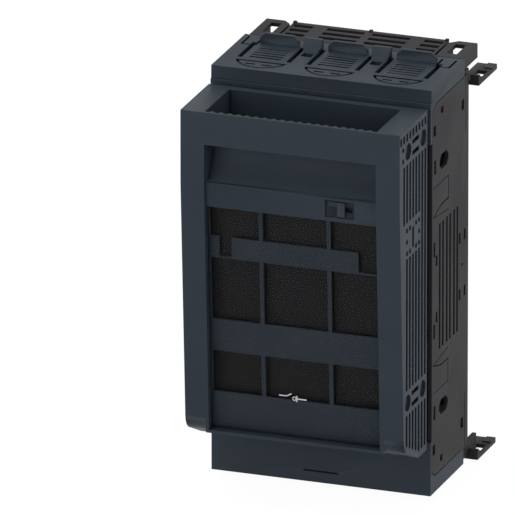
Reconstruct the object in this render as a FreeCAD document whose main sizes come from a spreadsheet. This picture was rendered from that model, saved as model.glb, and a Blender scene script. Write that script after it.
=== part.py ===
import FreeCAD, Part
import os
import re
import Sketcher
from FreeCAD import Placement, Rotation, Vector

# Fuse switch disconnector, three pole, for size 000 blade fuses, with a swing-out handle lid.
# Row frame: x to the right, y back towards the wall, z up. The origin lies on the wall plane,
# midway between the sides and midway between the top and the bottom of the terminal covers.
# A depth is measured back from the front plane of the terminal covers, so it is negative in the lid.
# A rise is measured up from mid-height.

os.makedirs("parts", exist_ok=True)
doc = FreeCAD.newDocument("FuseSwitchDisconnector")
sheet = doc.addObject("Spreadsheet::Sheet", "Sizes")

SIZES = {
    # Body
    "body_height": 195.6,  # over both terminal covers
    "wall_depth": 82.5,  # covers' front plane back to the wall plane
    "pole_pitch": 33.0,  # between neighbouring poles
    "side_margin": 3.5,  # from the outer poles' cells to the body's sides
    "side_wall": 2.0,  # thickness of the moulded side walls
    "skirt": 7.8,  # height of a terminal cover's side skirt
    "front_edge": 1.4,  # depth of the side walls' front edge, and the covers' front wall
    "corner_run": 5.1,  # depth of the sloped front corner of a side wall
    "corner_drop": 2.9,  # height of the sloped front corner of a side wall
    "seam_gap": 0.4,  # open seam between a side wall and a terminal cover
    "shell_depth": 50.0,  # depth of the outer side walls
    "strip_wide": 2.8,  # width of the strip that a groove sets off along their back edge
    "strip_groove": 0.6,  # width of that groove
    "strip_sink": 1.2,  # how deep it goes
    "strip_drop": 27.0,  # from the seam to the strip's inner end
    "strip_notch": 1.6,  # side of the notch there
    "floor_front": 47.5,  # depth of the chambers' floor
    "floor_back": 57.0,  # depth of the back of the floor plate
    "spine_back": 68.5,  # depth of the back of the spine
    "spine_inset": 7.0,  # spine's sides in from the body's sides
    "barrier_wall": 2.4,  # thickness of the phase barriers
    "barrier_front": 4.0,  # depth of the front edge of the phase barriers
    # Ribbed back
    "back_inset": 13.0,  # ribbed back's sides in from the body's sides
    "back_margin": 12.0,  # ribbed back in from the top and the bottom
    "back_rib": 2.4,  # thickness of the back's ribs
    "back_pocket_depth": 60.0,  # depth of the floor of its pockets
    "back_columns": 4,  # pockets across
    "back_rows": 6,  # pockets up
    "fixing_spacing": 150.0,  # height between the fixing holes
    "fixing_radius": 2.75,  # of a fixing hole
    "fixing_head_radius": 5.5,  # of the sunk seat for its screw head
    "fixing_seat": 42.0,  # depth of that seat
    "fixing_boss_radius": 7.0,  # of the boss around it
    "fixing_boss_front": 34.0,  # depth of the boss's front
    # End grilles and lugs
    "end_front": 46.0,  # depth of the front of the vented end block
    "end_inset": 15.5,  # its sides in from the body's sides
    "end_rim": 1.5,  # from its sides to the outer vents
    "end_nub": 1.6,  # side of the three nubs on its back edge
    "end_nub_rise": 0.8,  # their height
    "end_rows": 3,  # rows of vents
    "end_row_pitch": 6.0,  # between rows of vents
    "end_row_first": 52.0,  # depth of the first row
    "end_vent": 3.0,  # width of one vent
    "end_vent_sink": 7.0,  # how deep the vents go
    "end_bar": 2.0,  # half of the solid bar on the middle line
    "end_vent_long": 18.0,  # length of an inner vent
    "end_bar_side": 7.0,  # solid bar between an inner and an outer vent
    "lug_inset": 2.0,  # lugs' outer sides in from the body's sides
    "lug_wide": 13.0,  # width of a lug
    "lug_groove": 1.0,  # width of the groove between a lug and the end block
    "lug_groove_sink": 3.0,  # how deep that groove goes
    "lug_back": 69.0,  # depth of a lug's back edge
    "lug_height": 6.9,  # height of a lug
    "lug_plate": 2.0,  # thickness of its top plate
    "lug_wall": 2.0,  # thickness of its side walls
    "lug_slot_width": 4.8,  # of the slot in the lug
    "lug_slot_long": 13.0,  # of the slot in the lug
    "lug_slot_depth": 58.0,  # depth of the slot's middle
    "lug_corner": 4.0,  # bevel on a lug's inner back corner
    # Side wall vents and snap slots
    "vent_half": 30.15,  # half of the height of a side vent
    "vent_width": 2.0,  # of a side vent
    "vent_first": 11.0,  # depth of the first vent's near edge
    "vent_step": 4.4,  # between the two vents of a pair
    "vent_pair": 9.8,  # between pairs
    "vent_pairs": 3,  # pairs of vents
    "snap_wide": 3.2,  # width of a snap slot
    "snap_tall": 4.8,  # height of a snap slot
    "snap_front": 3.1,  # depth of the front snap slots' near edge
    "snap_rear": 41.5,  # depth of the rear snap slot's near edge
    "snap_drop": 13.1,  # from the seam down to their middle
    "pin_slot": 3.0,  # side of the small square slot
    "pin_slot_depth": 13.3,  # depth of its near edge
    "pin_slot_drop": 6.0,  # from the seam down to its middle
    "hatch_front": 11.6,  # depth of the eight-sided opening's near edge
    "hatch_long": 11.8,  # its length
    "hatch_tall": 7.0,  # its height
    "hatch_corner": 2.4,  # its corners' bevel
    "hatch_drop": 30.8,  # from the seam down to its middle
    "slit_front": 4.2,  # depth of the upright slit's near edge
    "slit_wide": 2.2,  # width of that slit
    "slit_tall": 6.6,  # its height
    "catch_wide": 2.0,  # width of the catch slots near the middle
    "catch_tall": 5.0,  # height of a catch slot
    "catch_rise": 13.6,  # rise of their middle
    "catch_front": 6.8,  # depth of the front catch slot's near edge
    "catch_rear": 38.4,  # depth of the first rear catch slot's near edge
    "catch_step": 6.8,  # from there to the second
    "guide_front": 3.6,  # depth of the long catch slot's near edge
    "guide_tall": 7.0,  # its height
    "guide_rise": 19.7,  # rise of its middle
    "eye_depth": 42.7,  # depth of the small round hole
    "eye_radius": 0.8,  # its radius
    "break_line": 0.5,  # width of the score lines of the break-out flap
    "break_sink": 0.8,  # how deep they go
    "flap_front": 2.8,  # depth of the flap's near end
    "flap_back": 23.9,  # depth of its far end
    "flap_high": 49.8,  # rise of its outer edge
    "flap_low": 38.6,  # rise of its inner edge
    "flap_tail": 14.5,  # depth where its inner edge turns towards the front
    "flap_toe": 35.5,  # rise of that edge's front end
    "flap_sill": 33.6,  # rise of the far end of the line below it
    # Mounting feet
    "foot_reach": 2.7,  # feet's outer sides out from the body's sides
    "foot_front": 57.4,  # depth of its front
    "foot_plate": 2.0,  # thickness of its plate
    "foot_lip": 5.0,  # height of the lip at its front
    "foot_lip_long": 1.9,  # thickness of the lip
    "foot_lip_wide": 4.3,  # width of the lip
    "foot_hole_wide": 4.4,  # width of its hole
    "foot_hole_long": 7.6,  # length of its hole
    "foot_hole_edge": 1.4,  # from the outer side to the hole
    "foot_hole_front": 8.0,  # from the foot's front to the hole
    "foot_pad": 6.4,  # length of the raised pad against the wall plane
    "foot_pad_rise": 0.5,  # its height
    "foot_drop": 16.3,  # upper feet's underside below the top
    # Terminal covers
    "cover_depth": 45.6,  # front to back
    "cover_plate": 2.0,  # thickness of the end plate
    "cover_wall": 1.6,  # thickness of the side skirts
    "cover_apron": 26.0,  # height of the front wall
    "tongue_half": 12.7,  # half of the width of a cable knock-out
    "tongue_front": 2.7,  # depth of its rounded end
    "tongue_line": 12.0,  # depth of the score line across it
    "tongue_back": 36.0,  # depth where it ends at its tab
    "score": 1.3,  # width of a score line
    "score_sink": 1.1,  # how deep a score line goes
    "tongue_gap": 2.2,  # width of the open slot beside it
    "tongue_gap_half": 10.6,  # from its middle line to that slot
    "tongue_gap_front": 15.0,  # depth of the slots' near end
    "rung_half": 7.6,  # half of the length of a cross groove
    "rung_first": 16.5,  # depth of the first cross groove
    "rung_pitch": 3.0,  # between cross grooves
    "rung_width": 1.1,  # of a cross groove
    "pip_long": 4.6,  # length of the short slots in the rounded end
    "pip_wide": 1.3,  # their width
    "pip_off": 4.0,  # from the middle line to the middle of each
    "pip_depth": 7.6,  # their depth
    "tab_half": 9.5,  # half of the width of a finger tab at its foot
    "tab_top_half": 7.0,  # and at its top
    "tab_rise": 4.9,  # height of a finger tab
    "tab_front": 36.0,  # depth of its front
    "tab_wall": 2.0,  # its thickness
    "latch_half": 4.3,  # half of the width of the small latch between two tabs
    "latch_front": 31.0,  # depth of its toe
    "latch_hole": 5.0,  # side of the hole in front of it
    "clip_inset": 3.6,  # corner clips' outer sides in from the body's sides
    "clip_wide": 5.6,  # width of a corner clip
    "clip_front": 33.0,  # depth of its front
    "clip_gap": 1.0,  # width of the gap around it
    "ledge_proud": 1.0,  # ledge under the top cover's brow, ahead of it
    "ledge_drop": 6.3,  # top of that ledge below the body's top
    # Lid shell
    "lid_inset": 0.4,  # lid's sides in from the body's sides
    "lid_reach": 42.1,  # front face ahead of the covers' front plane
    "lid_low_reach": 35.6,  # the same at the foot of the slope
    "lid_gap": 4.2,  # back edge ahead of the covers' front plane
    "lid_top_drop": 7.6,  # lid's top below the body's top
    "lid_foot": 24.1,  # lid's underside above the body's bottom
    "brow_tall": 34.8,  # height of its upright brow, above the knee where the front begins to slope
    "lid_toe_rise": 9.4,  # foot of the slope above the lid's underside
    "lid_toe_run": 20.0,  # depth of the rounded front corner
    "lid_toe_radius": 9.0,  # of that corner's upper rounding
    "lid_wall": 2.2,  # thickness of its walls
    "lid_slim_wall": 1.6,  # thickness of its inner walls
    "side_bar": 11.4,  # width of the side bars beside the grip, the scoop and the panel
    "grip_back": 8.0,  # grip cavity's back wall ahead of the covers' front plane
    "grip_lip": 1.4,  # thickness of the grip's front edge
    "grip_floor": 13.2,  # grip cavity's depth below the lid's top
    "bar_height": 15.5,  # height of the top bar
    "scoop_sink": 13.1,  # depth of the thumb recess at its top
    "tooth_count": 19,  # teeth along the grip's edge
    "tooth_pitch": 4.2,  # between teeth
    "tooth_radius": 1.3,  # of a tooth's round nose
    "tooth_tall": 2.4,  # height of a tooth
    # Lid side grille
    "groove_sink": 1.4,  # how deep its grooves go
    "groove_wide": 2.0,  # width of a groove
    "groove_pitch": 4.1,  # between grooves
    "groove_first": -39.8,  # depth of the first groove's middle
    "vent_low": 6.0,  # short top grooves' lower ends below the lid's top
    "vent_high": 2.5,  # their upper ends below the lid's top
    "upper_low": 9.3,  # upper long grooves' lower ends above the middle pattern's middle
    "upper_high": 17.5,  # their upper ends below the lid's top
    "lower_low": 37.8,  # lower long grooves' lower ends above the lid's underside
    "lower_high": 8.2,  # their upper ends below the middle pattern's middle
    "foot_high": 25.7,  # bottom grooves' upper ends above the lid's underside
    "foot_clear": 3.4,  # bottom grooves' lower ends above the lid's underside
    "dimple_radius": 4.0,  # of a round dimple
    "dimple_front": -30.3,  # depth of the front dimple's middle
    "dimple_back": -10.0,  # depth of the back dimple's middle
    "dimple_drop": 11.5,  # upper dimples' middles below the lid's top
    "dimple_lift": 31.7,  # lower dimples' middles above the lid's underside
    "dash_long": 9.0,  # length of the dashes between two dimples
    "dash_wide": 2.0,  # their width
    "dash_off": 2.7,  # from the dimples' middle line to a dash
    "mark_drop": 54.5,  # middle pattern's middle below the lid's top
    "mark_bar": 9.6,  # length of its middle bar
    "mark_square": 2.0,  # side of its small squares
    "mark_row": 5.5,  # between its rows of squares
    # Panel and windows
    "panel_sink": 3.5,  # panel's face behind the lid's front
    "panel_wall": 1.4,  # thickness of the lattice behind the sheet
    "panel_foot": 8.9,  # panel's lower edge above the lid's underside
    "window_margin": 0.5,  # outer windows' sides in from the side bars
    "mullion": 2.0,  # bar between two windows
    "mullion_off": 16.3,  # from the middle line to its middle
    "row_drop": 12.2,  # upper windows' head below the knee
    "label_band": 10.6,  # bar between the upper and the middle windows
    "low_band": 15.6,  # bar between the middle and the lower windows
    "low_sill": 17.6,  # from the panel's foot to the lower windows
    "top_row_share": 0.218,  # upper windows' part of the height left for windows
    "mid_row_share": 0.47,  # middle windows' part of it
    "label_side": 10.2,  # outer windows' width beside the blank label field
    "notch_inset": 4.3,  # left notch's outer side in from the windows' outer side
    "notch_sill": 1.0,  # notches' lower edge above the middle windows
    # Inspection window
    "pane_wall": 1.6,  # thickness of the sliding clear sheet
    "pane_lap": 3.3,  # how far it runs in under each side bar
    "pane_travel": 4.0,  # how far it slides
    "pane_head": 0.4,  # sheet's upper edge above the upper windows
    "slide_gap": 0.2,  # running clearance of sliding pieces
    # Lock slide
    "lock_left": 15.5,  # left edge of the lock recess
    "lock_right": 29.4,  # its right edge
    "lock_drop": 1.5,  # its upper edge below the knee
    "lock_tall": 8.2,  # its height
    "lock_sink": 1.1,  # how deep it goes
    "lock_knob_left": 21.4,  # left side of the knob
    "lock_knob_width": 3.6,  # its width
    "lock_margin": 0.7,  # knob's ends in from the recess
    "lock_proud": 1.5,  # knob's face ahead of the recess's floor
    "lock_arm_long": 4.6,  # length of the knob's side arm
    "lock_arm_tall": 2.4,  # height of the arm
    "lock_travel": 4.0,  # how far it slides
    "lock_stem": 2.0,  # width and height of its stem
    "lock_plate": 1.0,  # thickness of its keeper plate
    "lock_plate_half": 4.0,  # half of the keeper plate's width
    # Hinge
    "hinge_depth": -15.0,  # depth of the pin
    "hinge_height": 32.0,  # pin above the body's bottom
    "pin_radius": 2.0,  # of the hinge pin
    "pin_gap": 0.06,  # radial running clearance in the arm
    "pin_seat": 1.0,  # how far the pin enters the lid's side wall
    "ear_wall": 2.0,  # thickness of the ear inside the lid
    "ear_gap": 3.0,  # between the ear and the hinge arm
    "ear_reach": 6.5,  # ear around the pin
    "arm_inset": 5.0,  # hinge arm's outer side in from the body's side
    "arm_wall": 4.0,  # thickness of the arm
    "arm_radius": 4.4,  # of its rounded end
    "arm_back": 30.0,  # depth of the arm's root
    "arm_slot_gap": 0.8,  # clearance of the lid's slots for the arms
    # Contacts
    "jaw_rise": 33.0,  # from mid-height to a jaw's middle
    "jaw_tall": 14.0,  # height of a jaw
    "blade_gap": 5.4,  # between the two leaves of a jaw
    "leaf": 2.0,  # thickness of a leaf
    "leaf_front": 25.0,  # depth of the leaves' straight front
    "leaf_flare": 3.0,  # length of the flared lead-in
    "bar_front": 43.0,  # depth of the terminal bar's face
    "bar_thick": 3.0,  # its thickness
    "bar_wide": 16.0,  # its width at the terminal
    "bar_inset": 16.8,  # its outer end in from the body's end
    "terminal_inset": 26.8,  # terminal screw's middle in from the body's end
    "screw_radius": 2.5,  # of the terminal screw
    "screw_head_radius": 4.6,  # of its head
    "screw_head": 3.6,  # height of its head
    "screw_length": 14.0,  # of its shank
    "washer_radius": 6.0,  # of the clamping washer
    "washer": 1.2,  # its thickness
    "spring_wall": 0.8,  # thickness of a jaw spring
    "spring_tall": 9.0,  # its height
    "spring_front": 29.0,  # depth of its front ends
    "pedestal_half": 6.0,  # half of the width of the bars' pedestals
    # Arc chambers
    "arc_first": 44.0,  # rise of the first splitter plate
    "arc_pitch": 2.6,  # between plates
    "arc_plate": 1.0,  # thickness of a plate
    "arc_count": 4,  # plates over each jaw
    "arc_front": 20.0,  # depth of the plates' front edge
    "arc_back": 40.0,  # depth of their back edge
    "arc_notch": 9.0,  # width of the notch in a plate
    # Fuse holders
    "holder_half": 13.0,  # half of a holder's width
    "holder_front": -22.0,  # depth of its front
    "holder_wall": 6.0,  # front to back of its frame
    "holder_bar": 3.0,  # width of its frame bars
    "holder_top": 55.0,  # rise of its top
    "holder_bottom": -56.0,  # rise of its bottom
    "claw_rise": 34.5,  # from mid-height to a claw's middle
    "claw_tall": 4.0,  # height of a claw
    "claw_half": 8.0,  # half of the width over two claws
    "claw_wall": 2.4,  # thickness of a claw
    "claw_back": 12.0,  # depth of the claws' hooked ends
    "claw_hook": 1.6,  # how far a hook turns in
    "web_wall": 2.0,  # thickness of the lid's cross webs
}

NAMES = set(SIZES)
for sheet_row, (alias, size) in enumerate(SIZES.items(), start=1):
    sheet.set(f"A{sheet_row}", alias.replace("_", " "))
    sheet.set(f"B{sheet_row}", str(size))
    sheet.setAlias(f"B{sheet_row}", alias)
doc.recompute()


def formula(text):
    """A length formula in which each word that is a size becomes a reference to its cell."""
    return re.sub(r"[a-z_]+", lambda word: f"Sizes.{word[0]}" if word[0] in NAMES else word[0], str(text))


def value(text):
    """The present value of a formula."""
    return float(sheet.evalExpression(formula(text)))


def bind(thing, **formulas):
    """Ties properties of an object to formulas."""
    for prop, text in formulas.items():
        thing.setExpression(prop, formula(text))


def place(thing, x="0", y="0", z="0"):
    """Ties an object's position to formulas."""
    for letter, text in (("x", x), ("y", y), ("z", z)):
        thing.setExpression(f"Placement.Base.{letter}", formula(text))


def depth(text):
    """The y of a depth behind the covers' front plane."""
    return f"(({text}) - wall_depth)"


def below_top(text):
    return f"(body_height / 2 - ({text}))"


def above_bottom(text):
    return f"(({text}) - body_height / 2)"


def block(name, x, y, z):
    """A box between two formulas on each axis."""
    box = doc.addObject("Part::Box", name)
    bind(box, Length=f"({x[1]}) - ({x[0]})", Width=f"({y[1]}) - ({y[0]})", Height=f"({z[1]}) - ({z[0]})")
    place(box, x[0], y[0], z[0])
    return box


ROUND_TURN = {
    "x": Rotation(Vector(0, 1, 0), 90),
    "y": Rotation(Vector(1, 0, 0), -90),
    "z": Rotation(),
}


def rod(name, axis, radius, start, end, at, sides=0):
    """A cylinder, or a prism of so many sides, along x, y or z, centred on the other two formulas."""
    if sides:
        round_bar = doc.addObject("Part::Prism", name)
        round_bar.Polygon = sides
        bind(round_bar, Circumradius=radius, Height=f"({end}) - ({start})")
    else:
        round_bar = doc.addObject("Part::Cylinder", name)
        bind(round_bar, Radius=radius, Height=f"({end}) - ({start})")
    round_bar.Placement = Placement(Vector(), ROUND_TURN[axis])
    where = {"x": (start, *at), "y": (at[0], start, at[1]), "z": (*at, start)}[axis]
    place(round_bar, *where)
    return round_bar


def prism(name, plane, corners, start, end):
    """A closed outline, with each corner tied to two formulas, extruded from start to end.

    The outline lies in the plane yz, run along x, or in xy, run along z, or in xz, run along y.
    """
    sketch = doc.addObject("Sketcher::SketchObject", f"{name}_outline")
    turn = {"yz": Rotation(0.5, 0.5, 0.5, 0.5), "xy": Rotation(), "xz": Rotation(Vector(1, 0, 0), 90)}[plane]
    sketch.Placement = Placement(Vector(), turn)
    draw_outline(sketch, corners)
    run = {"yz": Vector(1, 0, 0), "xy": Vector(0, 0, 1), "xz": Vector(0, 1, 0)}[plane]
    letter = {"yz": "x", "xy": "z", "xz": "y"}[plane]
    place(sketch, **{letter: start})
    solid = doc.addObject("Part::Extrusion", name)
    solid.Base = sketch
    solid.DirMode = "Custom"
    solid.Dir = run
    solid.Solid = True
    bind(solid, LengthFwd=f"({end}) - ({start})")
    return solid


def draw_outline(sketch, corners):
    """Straight edges through the corners, each corner's two coordinates tied to formulas."""
    points = [Vector(value(u), value(v), 0) for u, v in corners]
    for index, point in enumerate(points):
        sketch.addGeometry(Part.LineSegment(point, points[(index + 1) % len(points)]), False)
    for index in range(len(points)):
        sketch.addConstraint(Sketcher.Constraint("Coincident", index, 2, (index + 1) % len(points), 1))
    for index, (u, v) in enumerate(corners):
        for kind, text, amount in (("DistanceX", u, points[index].x), ("DistanceY", v, points[index].y)):
            number = sketch.addConstraint(Sketcher.Constraint(kind, index, 1, amount))
            sketch.setExpression(f"Constraints[{number}]", formula(text))


def fuse(name, *pieces):
    union = doc.addObject("Part::MultiFuse", name)
    union.Shapes = list(pieces)
    return union


def group(name, *pieces):
    together = doc.addObject("Part::Compound", name)
    together.Links = list(pieces)
    return together


def cut(name, base, *tools):
    """The base less its tools."""
    rest = doc.addObject("Part::Cut", name)
    rest.Base = base
    rest.Tool = tools[0] if len(tools) == 1 else fuse(f"{name}_tools", *tools)
    return rest


def common(name, first, second):
    both = doc.addObject("Part::Common", name)
    both.Base = first
    both.Tool = second
    return both


def mirror(name, source, normal):
    """The source mirrored in the middle plane with this normal."""
    twin = doc.addObject("Part::Mirroring", name)
    twin.Source = source
    twin.Base = Vector(0, 0, 0)
    twin.Normal = normal
    return twin


ACROSS = Vector(1, 0, 0)
UPWARD = Vector(0, 0, 1)


def both_sides(name, piece):
    """A piece and its twin on the other side of the middle plane x = 0."""
    return group(name, piece, mirror(f"{name}_twin", piece, ACROSS))


def both_ends(name, piece):
    """A piece and its twin on the other side of mid-height."""
    return group(name, piece, mirror(f"{name}_twin", piece, UPWARD))


HALF_WIDTH = "(1.5 * pole_pitch + side_margin)"
HALF_HEIGHT = "body_height / 2"
SEAM = below_top("skirt")
POLES = {"left": "-pole_pitch", "middle": "0", "right": "pole_pitch"}
SPINE_HALF = f"({HALF_WIDTH} - spine_inset)"
BACK_HALF = f"({HALF_WIDTH} - back_inset)"
END_HALF = f"({HALF_WIDTH} - end_inset)"
LUG_OUTER = f"({HALF_WIDTH} - lug_inset)"
LUG_INNER = f"({LUG_OUTER} - lug_wide)"
ARM_OUTER = f"({HALF_WIDTH} - arm_inset)"
ARM_INNER = f"({ARM_OUTER} - arm_wall)"
EAR_INNER = f"({ARM_INNER} - ear_gap - ear_wall)"
ARC_HALF = "(pole_pitch / 2 - barrier_wall / 2)"
BAR_END = below_top("bar_inset")
TERMINAL_RISE = below_top("terminal_inset")
FLATS = 12  # sides of the small rods and bores that are moulded or cut with flats


def nodes_named(label, thing):
    thing.Label = label
    return thing


def base_housing():
    """The moulded base: side walls, chambers' floor, phase barriers, spine, ribbed back and hinge arms."""
    floor_side = f"{HALF_WIDTH} - side_wall"
    edge = f"({SEAM} - seam_gap)"
    wall_profile = [
        (depth("front_edge"), f"-{edge} + corner_drop"),
        (depth("front_edge + corner_run"), f"-{edge}"),
        (depth("shell_depth"), f"-{edge}"),
        (depth("shell_depth"), edge),
        (depth("front_edge + corner_run"), edge),
        (depth("front_edge"), f"{edge} - corner_drop"),
    ]
    wall = prism("side_wall_right", "yz", wall_profile, floor_side, HALF_WIDTH)
    floor_plate = block("floor_plate", (f"-({floor_side})", floor_side),
                        (depth("floor_front"), depth("floor_back")), (f"-{SEAM}", SEAM))
    spine = block("spine", (f"-{SPINE_HALF}", SPINE_HALF), (depth("floor_back"), depth("spine_back")),
                  (f"-{SEAM}", SEAM))
    ribbed = block("ribbed_back", (f"-{BACK_HALF}", BACK_HALF), (depth("spine_back"), depth("wall_depth")),
                   (above_bottom("back_margin"), below_top("back_margin")))
    barrier = block("barrier_right",
                    ("pole_pitch / 2 - barrier_wall / 2", "pole_pitch / 2 + barrier_wall / 2"),
                    (depth("barrier_front"), depth("floor_front")),
                    (f"-{SEAM} + corner_drop", f"{SEAM} - corner_drop"))
    boss = rod("fixing_boss", "y", "fixing_boss_radius", depth("fixing_boss_front"), depth("floor_front"),
               ("pole_pitch / 2", "fixing_spacing / 2"))
    arm = block("hinge_arm", (ARM_INNER, ARM_OUTER), (depth("hinge_depth"), depth("arm_back")),
                (above_bottom("hinge_height - arm_radius"), above_bottom("hinge_height + arm_radius")))
    arm_end = rod("hinge_arm_end", "x", "arm_radius", ARM_INNER, ARM_OUTER,
                  (depth("hinge_depth"), above_bottom("hinge_height")))
    arm_root = block("hinge_arm_root", (ARM_OUTER, floor_side),
                     (depth("front_edge + 2 * side_wall"), depth("arm_back")),
                     (above_bottom("hinge_height - arm_radius"), above_bottom("hinge_height + arm_radius")))
    rib = block("arc_rib", (f"pole_pitch + {ARC_HALF}", floor_side),
                (depth("arc_front"), depth("floor_front")),
                ("arc_first - arc_pitch", "arc_first + arc_pitch * arc_count"))
    sides = both_sides("base_sides", fuse("base_side", wall, barrier, arm, arm_end, arm_root, rib))
    bosses = both_ends("base_bosses", both_sides("base_boss_pair", boss))
    pedestals = []
    for pole, x in POLES.items():
        pedestals.append(block(f"pedestal_{pole}", (f"{x} - pedestal_half", f"{x} + pedestal_half"),
                               (depth("bar_front + bar_thick"), depth("floor_front")),
                               ("jaw_rise + jaw_tall / 2 + bar_thick", BAR_END)))
    pedestal_rows = both_ends("pedestals", group("pedestals_upper", *pedestals))
    ends = both_ends("base_ends", vented_end())
    whole = fuse("base_union", floor_plate, spine, ribbed, sides, bosses, pedestal_rows, ends)
    return nodes_named("base_housing", cut("base", whole, base_holes()))


def vented_end():
    """The block above the floor plate, with its rows of vents, three nubs and its two slotted lugs."""
    top = HALF_HEIGHT
    body = block("end_block", (f"-{END_HALF}", END_HALF), (depth("end_front"), depth("spine_back")),
                 (SEAM, top))
    nub_x = {"left": f"(-{END_HALF} + end_nub / 2)", "middle": "0", "right": f"({END_HALF} - end_nub / 2)"}
    nubs = [block(f"end_nub_{side}", (f"{x} - end_nub / 2", f"{x} + end_nub / 2"),
                  (depth("spine_back - end_nub"), depth("spine_back")),
                  (f"{top} - end_nub", f"{top} + end_nub_rise"))
            for side, x in nub_x.items()]
    lug_low = f"{top} - lug_height"
    lug = prism("lug_solid", "xy", [
        (END_HALF, depth("end_front")),
        (LUG_OUTER, depth("end_front")),
        (LUG_OUTER, depth("lug_back")),
        (f"{LUG_INNER} + lug_corner", depth("lug_back")),
        (LUG_INNER, depth("lug_back - lug_corner")),
        (LUG_INNER, depth("spine_back - 2 * lug_corner")),
        (END_HALF, depth("spine_back - 2 * lug_corner")),
    ], lug_low, top)
    hollow = block("lug_hollow", (f"{LUG_INNER} + lug_wall", f"{LUG_OUTER} - lug_wall"),
                   (depth("end_front + lug_wall"), depth("lug_back + 1")),
                   (f"{lug_low} - 1", f"{top} - lug_plate"))
    middle = f"({LUG_INNER} + {LUG_OUTER}) / 2"
    slot = block("lug_slot", (f"{middle} - lug_slot_width / 2", f"{middle} + lug_slot_width / 2"),
                 (depth("lug_slot_depth - lug_slot_long / 2"), depth("lug_slot_depth + lug_slot_long / 2")),
                 (lug_low, f"{top} + 1"))
    gutter = block("lug_groove", (END_HALF, f"{END_HALF} + lug_groove"),
                   (depth("end_front - 1"), depth("spine_back + 1")),
                   (f"{top} - lug_groove_sink", f"{top} + 1"))
    lugs = both_sides("lugs", cut("lug", lug, hollow, slot, gutter))
    vents = []
    columns = {
        "inner": ("end_bar", "end_bar + end_vent_long"),
        "outer": ("end_bar + end_vent_long + end_bar_side", f"{END_HALF} - end_rim"),
    }
    for row in range(int(value("end_rows"))):
        near = depth(f"end_row_first + {row} * end_row_pitch - end_vent / 2")
        far = depth(f"end_row_first + {row} * end_row_pitch + end_vent / 2")
        for column, across in columns.items():
            vents.append(block(f"end_vent_{column}_{row}", across, (near, far),
                               (f"{top} - end_vent_sink", f"{top} + 1")))
    grille = cut("end_grille", body, both_sides("end_vents", group("end_vents_right", *vents)))
    return fuse("vented_end", grille, lugs, *nubs)


def base_holes():
    """Everything that is cut out of the base."""
    through = (f"{HALF_WIDTH} - side_wall - 1", f"{HALF_WIDTH} + 1")
    vents = []
    for pair in range(int(value("vent_pairs"))):
        for second in range(2):
            near = f"vent_first + {pair} * vent_pair + {second} * vent_step"
            vents.append(block(f"side_vent_{pair}_{second}", through,
                               (depth(near), depth(f"{near} + vent_width")), ("-vent_half", "vent_half")))
    eye = rod("side_eye", "x", "eye_radius", *through, (depth("eye_depth"), "0"), FLATS)
    right = group("side_holes_right", *vents, eye, both_ends("side_marks", side_marks(through)))
    fixing_at = ("pole_pitch / 2", "fixing_spacing / 2")
    near = depth("barrier_front - 1")
    bore = rod("fixing_bore", "y", "fixing_radius", near, depth("wall_depth + 1"), fixing_at)
    sink = rod("fixing_sink", "y", "fixing_head_radius", near, depth("fixing_seat"), fixing_at)
    fixings = both_ends("fixing_holes", both_sides("fixing_hole_pair", fuse("fixing_hole", bore, sink)))
    pin = rod("arm_bore", "x", "pin_radius + pin_gap", f"{ARM_INNER} - 1", f"{ARM_OUTER} + 1",
              (depth("hinge_depth"), above_bottom("hinge_height")))
    screws = []
    for pole, x in POLES.items():
        screws.append(rod(f"screw_well_{pole}", "y", "screw_radius", depth("bar_front"),
                          depth("bar_front - washer + screw_length"), (x, TERMINAL_RISE), FLATS))
    wells = both_ends("screw_wells", group("screw_wells_upper", *screws))
    return fuse("base_cutters", both_sides("side_holes", right), fixings, both_sides("arm_bores", pin), wells,
                back_pockets())


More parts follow.
